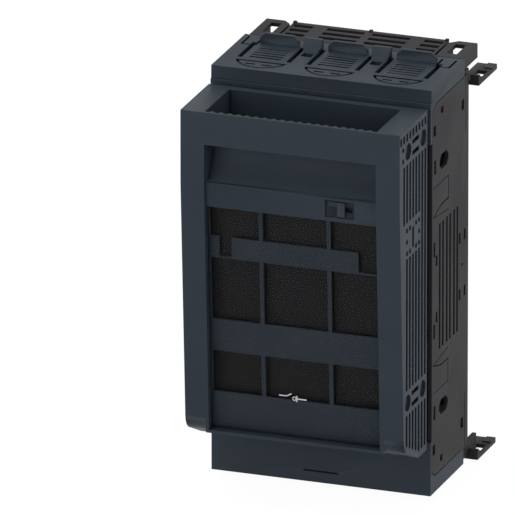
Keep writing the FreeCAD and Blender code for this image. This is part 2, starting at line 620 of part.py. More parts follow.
def side_marks(through):
    """The openings and score lines in the upper half of a side wall, which the lower half mirrors."""
    snap = f"({SEAM} - snap_drop)"
    pin_slot_rise = f"({SEAM} - pin_slot_drop)"
    hatch = f"({SEAM} - hatch_drop)"
    marks = [
        block("pin_slot_hole", through, (depth("pin_slot_depth"), depth("pin_slot_depth + pin_slot")),
              (f"{pin_slot_rise} - pin_slot / 2", f"{pin_slot_rise} + pin_slot / 2")),
        block("slit", through, (depth("slit_front"), depth("slit_front + slit_wide")),
              (f"{hatch} - slit_tall / 2", f"{hatch} + slit_tall / 2")),
        block("guide_slot", through, (depth("guide_front"), depth("guide_front + catch_wide")),
              ("guide_rise - guide_tall / 2", "guide_rise + guide_tall / 2")),
    ]
    for name, near in (("front", "snap_front"), ("rear", "snap_rear")):
        marks.append(block(f"snap_slot_{name}", through, (depth(near), depth(f"{near} + snap_wide")),
                           (f"{snap} - snap_tall / 2", f"{snap} + snap_tall / 2")))
    for name, near in (("front", "catch_front"), ("rear", "catch_rear"), ("last", "catch_rear + catch_step")):
        marks.append(block(f"catch_slot_{name}", through, (depth(near), depth(f"{near} + catch_wide")),
                           ("catch_rise - catch_tall / 2", "catch_rise + catch_tall / 2")))
    near, far = depth("hatch_front"), depth("hatch_front + hatch_long")
    low, high = f"{hatch} - hatch_tall / 2", f"{hatch} + hatch_tall / 2"
    marks.append(prism("hatch", "yz", [
        (near, f"{low} + hatch_corner"), (f"{near} + hatch_corner", low),
        (f"{far} - hatch_corner", low), (far, f"{low} + hatch_corner"),
        (far, f"{high} - hatch_corner"), (f"{far} - hatch_corner", high),
        (f"{near} + hatch_corner", high), (near, f"{high} - hatch_corner"),
    ], *through))
    skin = (f"{HALF_WIDTH} - break_sink", f"{HALF_WIDTH} + 1")
    front, back = depth("flap_front"), depth("flap_back")
    outer_line = prism("flap_line", "yz", [
        (front, "flap_high - break_line"), (f"{back} - break_line", "flap_high - break_line"),
        (f"{back} - break_line", "flap_low + break_line"), (depth("flap_tail"), "flap_low + break_line"),
        (front, "flap_toe + break_line"), (front, "flap_toe"), (depth("flap_tail"), "flap_low"),
        (back, "flap_low"), (back, "flap_high"), (front, "flap_high"),
    ], *skin)
    sill_line = prism("flap_sill_line", "yz", [
        (front, "flap_toe + break_line / 2"), (front, "flap_toe - break_line / 2"),
        (back, "flap_sill - break_line"), (back, "flap_sill"),
    ], *skin)
    marks.append(fuse("flap_lines", outer_line, sill_line))
    groove_near = depth("shell_depth - strip_wide - strip_groove")
    strip_end = f"({SEAM} - strip_drop)"
    marks.append(block("strip_groove_line", (f"{HALF_WIDTH} - strip_sink", f"{HALF_WIDTH} + 1"),
                       (groove_near, depth("shell_depth - strip_wide")), (strip_end, f"{SEAM} + 1")))
    marks.append(block("strip_notch_gap", through,
                       (depth("shell_depth - strip_notch"), depth("shell_depth + 1")),
                       (f"{strip_end} - strip_notch", strip_end)))
    return group("side_marks_upper", *marks)


def back_pockets():
    """A grid of pockets open to the back, left between ribs, with round pillars kept at the fixing holes."""
    wide = f"((2 * {BACK_HALF} - back_rib) / back_columns)"
    tall = "((body_height - 2 * back_margin - back_rib) / back_rows)"
    columns = int(value("back_columns"))
    rows = int(value("back_rows"))
    pockets = []
    for column in range(columns):
        left = f"(back_rib - {BACK_HALF} + {column} * {wide})"
        for row in range(rows):
            low = f"({above_bottom('back_margin')} + back_rib + {row} * {tall})"
            pockets.append(block(f"back_pocket_{column}_{row}", (left, f"{left} + {wide} - back_rib"),
                                 (depth("back_pocket_depth"), depth("wall_depth + 1")),
                                 (low, f"{low} + {tall} - back_rib")))
    pillar = rod("fixing_pillar", "y", "fixing_boss_radius", depth("back_pocket_depth - 1"),
                 depth("wall_depth + 2"), ("pole_pitch / 2", "fixing_spacing / 2"))
    pillars = both_ends("fixing_pillars", both_sides("fixing_pillar_pair", pillar))
    return cut("back_pockets", group("back_pocket_grid", *pockets), pillars)


def mounting_foot(side, end):
    """A flat foot beside the spine, with a lip at its front, a long hole and a raised pad at the wall."""
    name = f"mounting_foot_{end}_{side}"
    low = below_top("foot_drop") if end == "upper" else above_bottom("-foot_plate")
    outer = f"({HALF_WIDTH} + foot_reach)"
    top = f"{low} + foot_plate"
    plate = block(f"{name}_plate", (SPINE_HALF, outer), (depth("foot_front"), depth("wall_depth")),
                  (low, top))
    lip = block(f"{name}_lip", (f"{outer} - foot_lip_wide", outer),
                (depth("foot_front"), depth("foot_front + foot_lip_long")), (low, f"{low} + foot_lip"))
    pad = block(f"{name}_pad", (f"{outer} - foot_lip_wide", outer),
                (depth("wall_depth - foot_pad"), depth("wall_depth")), (low, f"{top} + foot_pad_rise"))
    hole_side = f"({outer} - foot_hole_edge)"
    hole_front = "foot_front + foot_hole_front"
    hole = block(f"{name}_hole", (f"{hole_side} - foot_hole_wide", hole_side),
                 (depth(hole_front), depth(f"{hole_front} + foot_hole_long")), (f"{low} - 1", f"{top} + 1"))
    foot = cut(f"{name}_right_hand", fuse(f"{name}_solid", plate, lip, pad), hole)
    if side == "left":
        foot = mirror(f"{name}_left_hand", foot, ACROSS)
    return nodes_named(name, foot)


def terminal_cover(name):
    """A clip-on terminal cover: end plate, skirts, front wall, cable knock-outs, finger tabs and latches."""
    top = HALF_HEIGHT
    outside = block(f"{name}_outside", (f"-{HALF_WIDTH}", HALF_WIDTH), (depth("0"), depth("cover_depth")),
                    (SEAM, top))
    inside = block(f"{name}_inside", (f"-({HALF_WIDTH} - cover_wall)", f"{HALF_WIDTH} - cover_wall"),
                   (depth("front_edge"), depth("cover_depth - cover_wall")),
                   (f"{SEAM} - 1", f"{top} - cover_plate"))
    apron = block(f"{name}_apron", (f"-{HALF_WIDTH}", HALF_WIDTH), (depth("0"), depth("front_edge")),
                  (f"{top} - cover_apron", SEAM))
    corner = prism(f"{name}_corner", "yz", [
        (depth("front_edge"), f"{SEAM} - corner_drop"),
        (depth("front_edge + corner_run"), SEAM),
        (depth("front_edge"), SEAM),
    ], f"{HALF_WIDTH} - side_wall", HALF_WIDTH)
    shell = cut(f"{name}_shell", outside, inside)
    front = [apron]
    details = []
    scores = []
    if name.startswith("top"):
        front.append(block(f"{name}_ledge", (f"-{HALF_WIDTH}", HALF_WIDTH), (depth("-ledge_proud"), depth("0")),
                           (f"{top} - cover_apron", f"{top} - ledge_drop")))
    for pole, x in POLES.items():
        details.append(finger_tab(f"{name}_tab_{pole}", x, top))
        scores.append(knock_out(f"{name}_tongue_{pole}", x, top))
    for side, sign in (("left", "-1"), ("right", "1")):
        details.append(small_latch(f"{name}_latch_{side}", f"{sign} * pole_pitch / 2", top))
        x = f"{sign} * pole_pitch / 2"
        scores.append(block(f"{name}_latch_hole_{side}", (f"{x} - latch_hole / 2", f"{x} + latch_hole / 2"),
                            (depth("latch_front - 1 - latch_hole"), depth("latch_front - 1")),
                            (f"{top} - cover_plate - 1", f"{top} + 1")))
    scores.append(both_sides(f"{name}_clips", corner_clip(f"{name}_clip", top)))
    solid = fuse(f"{name}_solid", shell, *front, both_sides(f"{name}_corners", corner), *details)
    cover = cut(f"{name}_upper_hand", solid, *scores)
    if name.startswith("bottom"):
        cover = mirror(f"{name}_lower_hand", cover, UPWARD)
    return nodes_named(name, cover)


def knock_out(name, x, top):
    """The score lines, cross grooves and open slots that set a cable knock-out free."""
    z = (f"{top} - score_sink", f"{top} + 1")
    middle = "(tongue_front + tongue_half)"
    disc = rod(f"{name}_disc", "z", "tongue_half", *z, (x, depth(middle)))
    core = rod(f"{name}_core", "z", "tongue_half - score", f"{top} - score_sink - 1", f"{top} + 2",
               (x, depth(middle)))
    ring = cut(f"{name}_ring", disc, core)
    front = block(f"{name}_front", (f"{x} - tongue_half", f"{x} + tongue_half"),
                  (depth("0"), depth("tongue_line")), z)
    arc = common(f"{name}_arc", ring, front)
    line = block(f"{name}_line", (f"{x} - tongue_half + score", f"{x} + tongue_half - score"),
                 (depth("tongue_line - score"), depth("tongue_line")), z)
    cuts = [arc, line]
    through = (f"{top} - cover_plate - 1", f"{top} + 1")
    for side, sign in (("left", "-"), ("right", "+")):
        gap = f"{x} {sign} (tongue_gap_half + tongue_gap / 2)"
        cuts.append(block(f"{name}_gap_{side}", (f"{gap} - tongue_gap / 2", f"{gap} + tongue_gap / 2"),
                          (depth("tongue_gap_front"), depth("tongue_back")), through))
        pip = f"{x} {sign} pip_off"
        cuts.append(block(f"{name}_pip_{side}", (f"{pip} - pip_long / 2", f"{pip} + pip_long / 2"),
                          (depth("pip_depth - pip_wide / 2"), depth("pip_depth + pip_wide / 2")), z))
    for rung in range(5):
        near = f"rung_first + {rung} * rung_pitch"
        cuts.append(block(f"{name}_rung_{rung}", (f"{x} - rung_half", f"{x} + rung_half"),
                          (depth(near), depth(f"{near} + rung_width")), z))
    return fuse(name, *cuts)


def finger_tab(name, x, top):
    """An upright tab with bevelled corners, standing on the cover behind a knock-out."""
    return prism(name, "xz", [
        (f"{x} - tab_half", f"{top} - cover_plate"),
        (f"{x} + tab_half", f"{top} - cover_plate"),
        (f"{x} + tab_half", f"{top} + tab_rise / 2"),
        (f"{x} + tab_top_half", f"{top} + tab_rise"),
        (f"{x} - tab_top_half", f"{top} + tab_rise"),
        (f"{x} - tab_half", f"{top} + tab_rise / 2"),
    ], depth("tab_front"), depth("tab_front + tab_wall"))


def small_latch(name, x, top):
    """A ramp that rises towards the back, between two tabs."""
    return prism(name, "yz", [
        (depth("latch_front"), f"{top} - cover_plate / 2"),
        (depth("tab_front + tab_wall"), f"{top} - cover_plate / 2"),
        (depth("tab_front + tab_wall"), f"{top} + tab_rise"),
        (depth("tab_front"), f"{top} + tab_rise"),
    ], f"{x} - latch_half", f"{x} + latch_half")


def corner_clip(name, top):
    """The gap that sets a corner clip free on three sides."""
    z = (f"{top} - cover_plate - 1", f"{top} + 1")
    y = (depth("clip_front"), depth("cover_depth - cover_wall - 1"))
    outer = f"({HALF_WIDTH} - clip_inset)"
    inner = f"({outer} - clip_wide)"
    return fuse(name, block(f"{name}_inner_gap", (f"{inner} - clip_gap", inner), y, z),
                block(f"{name}_outer_gap", (outer, f"{outer} + clip_gap"), y, z),
                block(f"{name}_front_gap", (f"{inner} - clip_gap", f"{outer} + clip_gap"),
                      (depth("clip_front - clip_gap"), depth("clip_front")), z))


LID_TOP = below_top("lid_top_drop")
LID_FOOT = above_bottom("lid_foot")
TOE = f"({LID_FOOT} + lid_toe_rise)"
KNEE = f"({LID_TOP} - brow_tall)"
LID_HALF = f"({HALF_WIDTH} - lid_inset)"
BAR_HALF = f"({LID_HALF} - side_bar)"
WINDOW_HALF = f"({BAR_HALF} - window_margin)"


def lid_front(rise, inset="0"):
    """The y of the lid's sloping front face at a rise, moved back by an inset."""
    lean = f"(lid_reach - lid_low_reach) * ({KNEE} - ({rise})) / ({KNEE} - {TOE})"
    return depth(f"{inset} - lid_reach + {lean}")


PANEL_BACK = "(panel_sink + pane_wall + slide_gap + panel_wall)"
PANEL_FOOT = f"({LID_FOOT} + panel_foot)"
LOW_ROW = f"({PANEL_FOOT} + low_sill)"
ROWS_TALL = f"({KNEE} - row_drop - label_band - low_band - {LOW_ROW})"
TOP_ROW = (f"({KNEE} - row_drop - {ROWS_TALL} * top_row_share)", f"({KNEE} - row_drop)")
MID_ROW = (f"({TOP_ROW[0]} - label_band - {ROWS_TALL} * mid_row_share)", f"({TOP_ROW[0]} - label_band)")
ROWS = {"top": TOP_ROW, "mid": MID_ROW, "low": (LOW_ROW, f"({MID_ROW[0]} - low_band)")}
PANE_TOP = f"({TOP_ROW[1]} + pane_head)"
PANE_HALF = f"({BAR_HALF} + pane_lap)"
LOCK_HIGH = f"({KNEE} - lock_drop)"
LOCK_LOW = f"({LOCK_HIGH} - lock_tall)"


def lid_outside():
    """The lid's outer form: upright brow, sloping front and a rounded lower front corner."""
    body = doc.addObject("PartDesign::Body", "lid_outside")
    plane = next(item for item in body.Origin.OriginFeatures if item.Role == "YZ_Plane")
    sketch = body.newObject("Sketcher::SketchObject", "lid_outside_outline")
    sketch.AttachmentSupport = [(plane, "")]
    sketch.MapMode = "FlatFace"
    toe_end = depth("lid_toe_run - lid_low_reach")
    draw_outline(sketch, [
        (depth("-lid_gap"), LID_FOOT),
        (depth("-lid_gap"), LID_TOP),
        (depth("-lid_reach"), LID_TOP),
        (depth("-lid_reach"), KNEE),
        (depth("-lid_low_reach"), TOE),
        (toe_end, LID_FOOT),
    ])
    pad = body.newObject("PartDesign::Pad", "lid_outside_pad")
    pad.Profile = sketch
    pad.Midplane = True
    bind(pad, Length=f"2 * {LID_HALF}")
    doc.recompute()
    toe = (value(depth("-lid_low_reach")), value(TOE))
    edges = []
    for index, edge in enumerate(pad.Shape.Edges, start=1):
        if all(abs(v.Y - toe[0]) < 0.01 and abs(v.Z - toe[1]) < 0.01 for v in edge.Vertexes):
            edges.append(f"Edge{index}")
    rounding = body.newObject("PartDesign::Fillet", "lid_toe_rounding")
    rounding.Base = (pad, edges)
    bind(rounding, Radius="lid_toe_radius")
    body.Tip = rounding
    return body


def lid_frame():
    """The lid and handle in one moulding: shell, grip tub, thumb scoop, sunk panel, rails, ears and webs."""
    inner = f"({LID_HALF} - lid_wall)"
    steep = "sqrt(lid_toe_run ^ 2 + lid_toe_rise ^ 2)"
    hollow = prism("lid_hollow", "yz", [
        (depth("1"), f"{LID_FOOT} + lid_wall"),
        (depth("1"), f"{LID_TOP} - lid_wall"),
        (depth("lid_wall - lid_reach"), f"{LID_TOP} - lid_wall"),
        (depth("lid_wall - lid_reach"), KNEE),
        (depth("lid_wall - lid_low_reach"), f"{TOE} + lid_wall * ({steep} - lid_toe_rise) / lid_toe_run"),
        (depth(f"lid_toe_run - lid_low_reach + lid_wall * ({steep} - lid_toe_run) / lid_toe_rise"),
         f"{LID_FOOT} + lid_wall"),
    ], f"-{inner}", inner)
    shell = cut("lid_shell", lid_outside(), hollow)
    tub_side = f"({BAR_HALF} + lid_slim_wall)"
    bar_foot = f"({LID_TOP} - bar_height)"
    tub = block("grip_tub", (f"-{tub_side}", tub_side), (depth("-lid_reach"), depth("-lid_gap")),
                (f"{LID_TOP} - grip_floor - lid_slim_wall", LID_TOP))
    scoop_wall = common("scoop_wall", scoop_round("scoop_back", "lid_slim_wall"),
                        block("scoop_wall_clip", (f"-{tub_side}", tub_side),
                              (depth("-lid_reach"), depth("-lid_gap")),
                              (f"{KNEE} - 2 * lid_slim_wall", f"{bar_foot} + lid_slim_wall")))
    well = sloped_slab("panel_well", "0", PANEL_BACK, f"{PANEL_FOOT} - lid_slim_wall", KNEE, tub_side)
    webs = []
    for web, low in (("upper", "holder_top"), ("lower", "holder_bottom - web_wall")):
        webs.append(block(f"lid_web_{web}", (f"-({inner})", inner),
                          (lid_front(low, f"{PANEL_BACK} - panel_wall / 2"),
                           depth("holder_front + holder_wall + web_wall")), (low, f"{low} + web_wall")))
    ears = both_sides("hinge_ears", hinge_ear())
    solid = fuse("lid_solid", shell, tub, scoop_wall, well, ears, *webs, *grip_teeth())
    grip = block("grip_cavity", (f"-{BAR_HALF}", BAR_HALF),
                 (depth("grip_lip - lid_reach"), depth("-grip_back")),
                 (f"{LID_TOP} - grip_floor", f"{LID_TOP} + 1"))
    teeth = fuse("grip_teeth", *grip_teeth("keep"))
    scoop = common("scoop", scoop_round("scoop_front", "0"),
                   block("scoop_clip", (f"-{BAR_HALF}", BAR_HALF),
                         (depth("-lid_reach - 1"), depth("-lid_gap")), (KNEE, bar_foot)))
    recess = sloped_slab("panel_recess", "-1", "panel_sink", PANEL_FOOT, KNEE, BAR_HALF)
    pane_room = sloped_slab("pane_room", "panel_sink - slide_gap", "panel_sink + pane_wall + slide_gap",
                            f"{PANEL_FOOT} - slide_gap", f"{PANE_TOP} + slide_gap",
                            f"{PANE_HALF} + pane_travel + slide_gap")
    frame = cut("lid", solid, cut("grip_space", grip, teeth), scoop, recess, pane_room,
                window_holes(), lock_holes(), side_grille(), hinge_holes())
    return nodes_named("lid_frame", frame)


def scoop_round(name, grow):
    """A cylinder across the lid whose surface is the thumb recess, grown by a wall."""
    drop = f"({LID_TOP} - bar_height - {KNEE})"
    run = "(scoop_sink - panel_sink)"
    radius = f"(({drop} ^ 2 + {run} ^ 2) / (2 * {run}))"
    reach = f"({BAR_HALF} + lid_slim_wall + 1)"
    return rod(name, "x", f"{radius} + {grow}", f"-{reach}", reach,
               (depth(f"scoop_sink - lid_reach - {radius}"), f"({LID_TOP} - bar_height)"))


def sloped_slab(name, near, far, low, high, half):
    """A slab that follows the lid's sloping front, between two insets from it."""
    return prism(name, "yz", [
        (lid_front(low, near), low),
        (lid_front(low, far), low),
        (lid_front(high, far), high),
        (lid_front(high, near), high),
    ], f"-({half})", half)


def grip_teeth(use="add"):
    """Round-nosed teeth along the back of the grip's front edge."""
    teeth = []
    for tooth in range(int(value("tooth_count"))):
        x = f"({tooth} - (tooth_count - 1) / 2) * tooth_pitch"
        teeth.append(rod(f"grip_tooth_{use}_{tooth}", "z", "tooth_radius", f"{LID_TOP} - tooth_tall", LID_TOP,
                         (x, depth("grip_lip - lid_reach")), FLATS))
    return teeth


def window_holes():
    """Three columns by three rows of windows, with a blank label field left between the upper two rows."""
    y = (depth("-lid_reach"), depth(f"{PANEL_BACK} - lid_low_reach + lid_wall"))
    near = "mullion_off - mullion / 2"
    far = "mullion_off + mullion / 2"
    columns = {
        "left": (f"-{WINDOW_HALF}", f"-({far})"),
        "middle": (f"-({near})", near),
        "right": (far, WINDOW_HALF),
    }
    holes = []
    for row, z in ROWS.items():
        for column, x in columns.items():
            holes.append(block(f"window_{row}_{column}", x, y, z))
    notch = (f"{MID_ROW[1]} + notch_sill", f"{TOP_ROW[0]} + notch_sill")
    label_half = f"({WINDOW_HALF} - label_side)"
    holes.append(block("notch_left", (f"-({WINDOW_HALF} - notch_inset)", f"-{label_half}"), y, notch))
    holes.append(block("notch_right", (label_half, WINDOW_HALF), y, notch))
    return fuse("window_holes", *holes)


def lock_holes():
    """The sunk field of the lock slide and the slit that its stem runs in."""
    floor = lid_front(LOCK_LOW, "panel_sink + lock_sink")
    field = block("lock_field", ("lock_left", "lock_right"), (depth("-lid_reach"), floor),
                  (LOCK_LOW, LOCK_HIGH))
    middle = f"({LOCK_LOW} + {LOCK_HIGH}) / 2"
    stem = "lock_knob_left + lock_knob_width / 2"
    slit = block("lock_slit",
                 (f"{stem} - lock_stem / 2 - slide_gap", f"{stem} + lock_stem / 2 + slide_gap + lock_travel"),
                 (depth("-lid_reach"), depth(f"{PANEL_BACK} - lid_reach + lid_wall")),
                 (f"{middle} - lock_stem / 2 - slide_gap", f"{middle} + lock_stem / 2 + slide_gap"))
    return fuse("lock_holes", field, slit)


def groove(name, middle, low, high, wide="groove_wide"):
    """One upright groove in the lid's right-hand side."""
    return block(name, (f"{LID_HALF} - groove_sink", f"{LID_HALF} + 1"),
                 (depth(f"{middle} - {wide} / 2"), depth(f"{middle} + {wide} / 2")), (low, high))


def side_grille():
    """The moulded pattern of grooves, dashes, squares and round dimples on both sides of the lid."""
    columns = [f"(groove_first + {index} * groove_pitch)" for index in range(9)]
    mark = f"({LID_TOP} - mark_drop)"
    upper = (f"{mark} + upper_low", f"{LID_TOP} - upper_high")
    lower = (f"{LID_FOOT} + lower_low", f"{mark} - lower_high")
    cuts = []
    for index, middle in enumerate(columns):
        cuts.append(groove(f"top_groove_{index}", middle, f"{LID_TOP} - vent_low", f"{LID_TOP} - vent_high"))
    for index, middle in enumerate(columns[1:7], start=1):
        cuts.append(groove(f"upper_groove_{index}", middle, *upper))
        if index > 1:
            cuts.append(groove(f"lower_groove_{index}", middle, *lower))
    for index, middle in enumerate(columns[7:], start=7):
        cuts.append(groove(f"long_groove_{index}", middle, lower[0], upper[1]))
    for index, middle in enumerate(columns[2:], start=2):
        slope = f"lid_toe_rise * max(0; (lid_toe_run - lid_low_reach - {middle}) / lid_toe_run)"
        cuts.append(groove(f"foot_groove_{index}", middle, f"{LID_FOOT} + foot_clear + {slope}",
                           f"{LID_FOOT} + foot_high"))
    x = (f"{LID_HALF} - groove_sink", f"{LID_HALF} + 1")
    signs = {"high": "+", "low": "-"}
    between = "(dimple_front + dimple_back) / 2"
    dimple_rows = {"upper": f"({LID_TOP} - dimple_drop)", "lower": f"({LID_FOOT} + dimple_lift)"}
    for row, rise in dimple_rows.items():
        for middle in ("dimple_front", "dimple_back"):
            cuts.append(rod(f"{row}_{middle}", "x", "dimple_radius", *x, (depth(middle), rise), 2 * FLATS))
        for word, sign in signs.items():
            dash = f"({rise} {sign} dash_off)"
            cuts.append(block(f"{row}_dash_{word}", x, (depth(f"{between} - dash_long / 2"),
                                                        depth(f"{between} + dash_long / 2")),
                              (f"{dash} - dash_wide / 2", f"{dash} + dash_wide / 2")))
    for word, sign in signs.items():
        square = f"({dimple_rows['upper']} {sign} dash_off)"
        cuts.append(groove(f"front_square_{word}", "groove_first + groove_wide + mark_square / 3",
                           f"{square} - mark_square / 2", f"{square} + mark_square / 2"))
    cuts.append(groove("mark_bar_groove", columns[4], f"{mark} - mark_bar / 2", f"{mark} + mark_bar / 2"))
    for index in (2, 3, 5, 6):
        for word, sign in signs.items():
            middle = f"({mark} {sign} mark_row)"
            cuts.append(groove(f"mark_{index}_{word}", columns[index], f"{middle} - mark_square / 2",
                               f"{middle} + mark_square / 2", "mark_square"))
    for index in (2, 6):
        cuts.append(groove(f"mark_{index}_middle", columns[index], f"{mark} - mark_square / 2",
                           f"{mark} + mark_square / 2", "mark_square"))
    return both_sides("side_grille", group("side_grille_right", *cuts))


def hinge_ear():
    """A plate inside the lid that holds the inner end of a hinge pin."""
    low = f"({LID_FOOT} + lid_wall / 2)"
    pin = above_bottom("hinge_height")
    slab = block("hinge_ear_slab", (EAR_INNER, f"{EAR_INNER} + ear_wall"),
                 (depth("hinge_depth - ear_reach"), depth("hinge_depth + ear_reach")), (low, pin))
    crown = rod("hinge_ear_crown", "x", "ear_reach", EAR_INNER, f"{EAR_INNER} + ear_wall",
                (depth("hinge_depth"), pin))
    return fuse("hinge_ear", slab, crown)


def hinge_holes():
    """Seats for the hinge pins, and slots in the lid's underside that clear the hinge arms."""
    pin_at = (depth("hinge_depth"), above_bottom("hinge_height"))
    seat = rod("pin_seat_bore", "x", "pin_radius", f"{EAR_INNER} - 1",
               f"{LID_HALF} - lid_wall + pin_seat", pin_at)
    slot = block("arm_slot", (f"{ARM_INNER} - arm_slot_gap", f"{ARM_OUTER} + arm_slot_gap"),
                 (depth("hinge_depth - arm_radius - lid_wall - arm_slot_gap"), depth("1")),
                 (f"{LID_FOOT} - 1", f"{LID_FOOT} + lid_wall + lid_toe_rise / 2"))
    return both_sides("hinge_holes", group("hinge_holes_right", seat, slot))


def inspection_window():
    """The clear sheet, flush with the panel's head, which slides sideways in slits under the side bars."""
    pane = sloped_slab("pane", "panel_sink", "panel_sink + pane_wall", PANEL_FOOT, PANE_TOP, PANE_HALF)
    return nodes_named("inspection_window", pane)


def lock_slide():
    """The small L-shaped lock slide: knob, side arm, stem and keeper plate."""
    low = f"({LOCK_LOW} + lock_margin)"
    high = f"({LOCK_HIGH} - lock_margin)"
    middle = f"({LOCK_LOW} + {LOCK_HIGH}) / 2"
    floor = "panel_sink + lock_sink"
    face = lid_front(LOCK_LOW, f"{floor} - lock_proud")
    back = lid_front(LOCK_LOW, floor)
    knob = block("lock_knob", ("lock_knob_left", "lock_knob_left + lock_knob_width"), (face, back),
                 (low, high))
    arm = block("lock_arm", ("lock_knob_left - lock_arm_long", "lock_knob_left"),
                (f"({face} + {back}) / 2", back), (f"{high} - lock_arm_tall", high))
    stem_x = "(lock_knob_left + lock_knob_width / 2)"
    keeper_front = lid_front(LOCK_LOW, f"{PANEL_BACK} + slide_gap")
    stem = block("lock_stem_bar", (f"{stem_x} - lock_stem / 2", f"{stem_x} + lock_stem / 2"),
                 (back, keeper_front), (f"{middle} - lock_stem / 2", f"{middle} + lock_stem / 2"))
    keeper = block("lock_keeper", (f"{stem_x} - lock_plate_half", f"{stem_x} + lock_plate_half"),
                   (keeper_front, f"{keeper_front} + lock_plate"),
                   (f"{low} + lock_plate", f"{high} - lock_plate"))
    return nodes_named("lock_slide", fuse("lock_slide_solid", knob, arm, stem, keeper))


def hinge_pins():
    """Two steel pins, each held by the lid's side wall and an ear, that turn in the base's arms."""
    at = (depth("hinge_depth"), above_bottom("hinge_height"))
    pin = rod("hinge_pin", "x", "pin_radius", EAR_INNER, f"{LID_HALF} - lid_wall + pin_seat", at)
    return nodes_named("hinge_pins", both_sides("hinge_pin_pair", pin))


def fuse_holder(pole, x):
    """A frame on the lid's cross webs with two pairs of hooked claws that grip one fuse link."""
    name = f"fuse_holder_{pole}"
    y = (depth("holder_front"), depth("holder_front + holder_wall"))
    bars = []
    for side, sign in (("left", "-"), ("right", "+")):
        outer = f"({x} {sign} holder_half)"
        inner = f"({x} {sign} (holder_half - holder_bar))"
        span = (outer, inner) if sign == "-" else (inner, outer)
        bars.append(block(f"{name}_bar_{side}", span, y, ("holder_bottom", "holder_top")))
        for level, rise in (("upper", "claw_rise"), ("lower", "(-claw_rise)")):
            edge = f"({x} {sign} claw_half)"
            inside = f"({x} {sign} (claw_half - claw_wall))"
            tip = f"({x} {sign} (claw_half - claw_wall - claw_hook))"
            back = depth("claw_back")
            bars.append(prism(f"{name}_claw_{level}_{side}", "xy", [
                (edge, y[0]), (edge, back), (tip, f"{back} - claw_wall"), (tip, f"{back} - 2 * claw_wall"),
                (inside, f"{back} - 2 * claw_wall"), (inside, y[0]),
            ], f"{rise} - claw_tall / 2", f"{rise} + claw_tall / 2"))
    for level, rise in (("upper", "claw_rise"), ("lower", "(-claw_rise)")):
        bars.append(block(f"{name}_cross_{level}", (f"{x} - holder_half", f"{x} + holder_half"), y,
                          (f"{rise} - claw_tall / 2", f"{rise} + claw_tall / 2")))
    return nodes_named(name, fuse(f"{name}_solid", *bars))


def jaw_contact(pole, x, end):
    """A plated copper terminal bar with a fork of two sprung leaves that takes a fuse blade."""
    name = f"jaw_contact_{end}_{pole}"
    low = "jaw_rise - jaw_tall / 2"
    high = "jaw_rise + jaw_tall / 2"
    inner = "blade_gap / 2"
    outer = "(blade_gap / 2 + leaf)"
    leaves = []
    for side, sign in (("left", "-"), ("right", "+")):
        leaves.append(prism(f"{name}_leaf_{side}", "xy", [
            (f"{x} {sign} {inner}", depth("bar_front")),
            (f"{x} {sign} {inner}", depth("leaf_front")),
            (f"{x} {sign} ({outer})", depth("leaf_front - leaf_flare")),
            (f"{x} {sign} ({outer} + leaf)", depth("leaf_front - leaf_flare")),
            (f"{x} {sign} {outer}", depth("leaf_front")),
            (f"{x} {sign} {outer}", depth("bar_front")),
        ], low, high))
    y = (depth("bar_front"), depth("bar_front + bar_thick"))
    foot = block(f"{name}_foot", (f"{x} - {outer}", f"{x} + {outer}"), y, (low, f"{high} + leaf / 2"))
    bar = block(f"{name}_bar", (f"{x} - bar_wide / 2", f"{x} + bar_wide / 2"), y,
                (f"{high} + leaf / 2", BAR_END))
    hole = rod(f"{name}_hole", "y", "screw_radius", depth("bar_front - 1"),
               depth("bar_front + bar_thick + 1"), (x, TERMINAL_RISE), FLATS)
    contact = cut(f"{name}_solid", fuse(f"{name}_union", foot, bar, *leaves), hole)
    if end == "lower":
        contact = mirror(f"{name}_twin", contact, UPWARD)
    return nodes_named(name, contact)


def jaw_spring(pole, x, end):
    """A steel clip around a fork that presses its leaves together."""
    name = f"jaw_spring_{end}_{pole}"
    inner = "(blade_gap / 2 + leaf)"
    outer = f"({inner} + spring_wall)"
    front = depth("spring_front")
    back = depth("bar_front + bar_thick")
    clip = prism(f"{name}_clip", "xy", [
        (f"{x} - {outer}", front), (f"{x} - {inner}", front),
        (f"{x} - {inner}", back), (f"{x} + {inner}", back),
        (f"{x} + {inner}", front), (f"{x} + {outer}", front),
        (f"{x} + {outer}", f"{back} + spring_wall"), (f"{x} - {outer}", f"{back} + spring_wall"),
    ], "jaw_rise - spring_tall / 2", "jaw_rise + spring_tall / 2")
    if end == "lower":
        clip = mirror(f"{name}_twin", clip, UPWARD)
    return nodes_named(name, clip)


def terminal_screws(end):
    """Three hexagon-headed terminal screws."""
    screws = []
    seat = "bar_front - washer"
    for pole, x in POLES.items():
        name = f"screw_{end}_{pole}"
        at = (x, TERMINAL_RISE)
        shank = rod(f"{name}_shank", "y", "screw_radius", depth(seat), depth(f"{seat} + screw_length"), at,
                    FLATS)
        head = rod(f"{name}_head", "y", "screw_head_radius", depth(f"{seat} - screw_head"), depth(seat), at,
                   FLATS // 2)
        screws.append(fuse(name, shank, head))
    row = group(f"screw_row_{end}", *screws)
    if end == "lower":
        row = mirror("screw_row_lower_twin", row, UPWARD)
    return nodes_named(f"terminal_screws_{end}", row)


def terminal_washers(end):
    """Three round clamping washers under the screw heads."""
    washers = []
    for pole, x in POLES.items():
        at = (x, TERMINAL_RISE)
        disc = rod(f"washer_{end}_{pole}_disc", "y", "washer_radius", depth("bar_front - washer"),
                   depth("bar_front"), at, FLATS)
        eye = rod(f"washer_{end}_{pole}_eye", "y", "screw_radius", depth("bar_front - washer - 1"),
                  depth("bar_front + 1"), at, FLATS)
        washers.append(cut(f"washer_{end}_{pole}", disc, eye))
    row = group(f"washer_row_{end}", *washers)
    if end == "lower":
        row = mirror("washer_row_lower_twin", row, UPWARD)
    return nodes_named(f"terminal_washers_{end}", row)


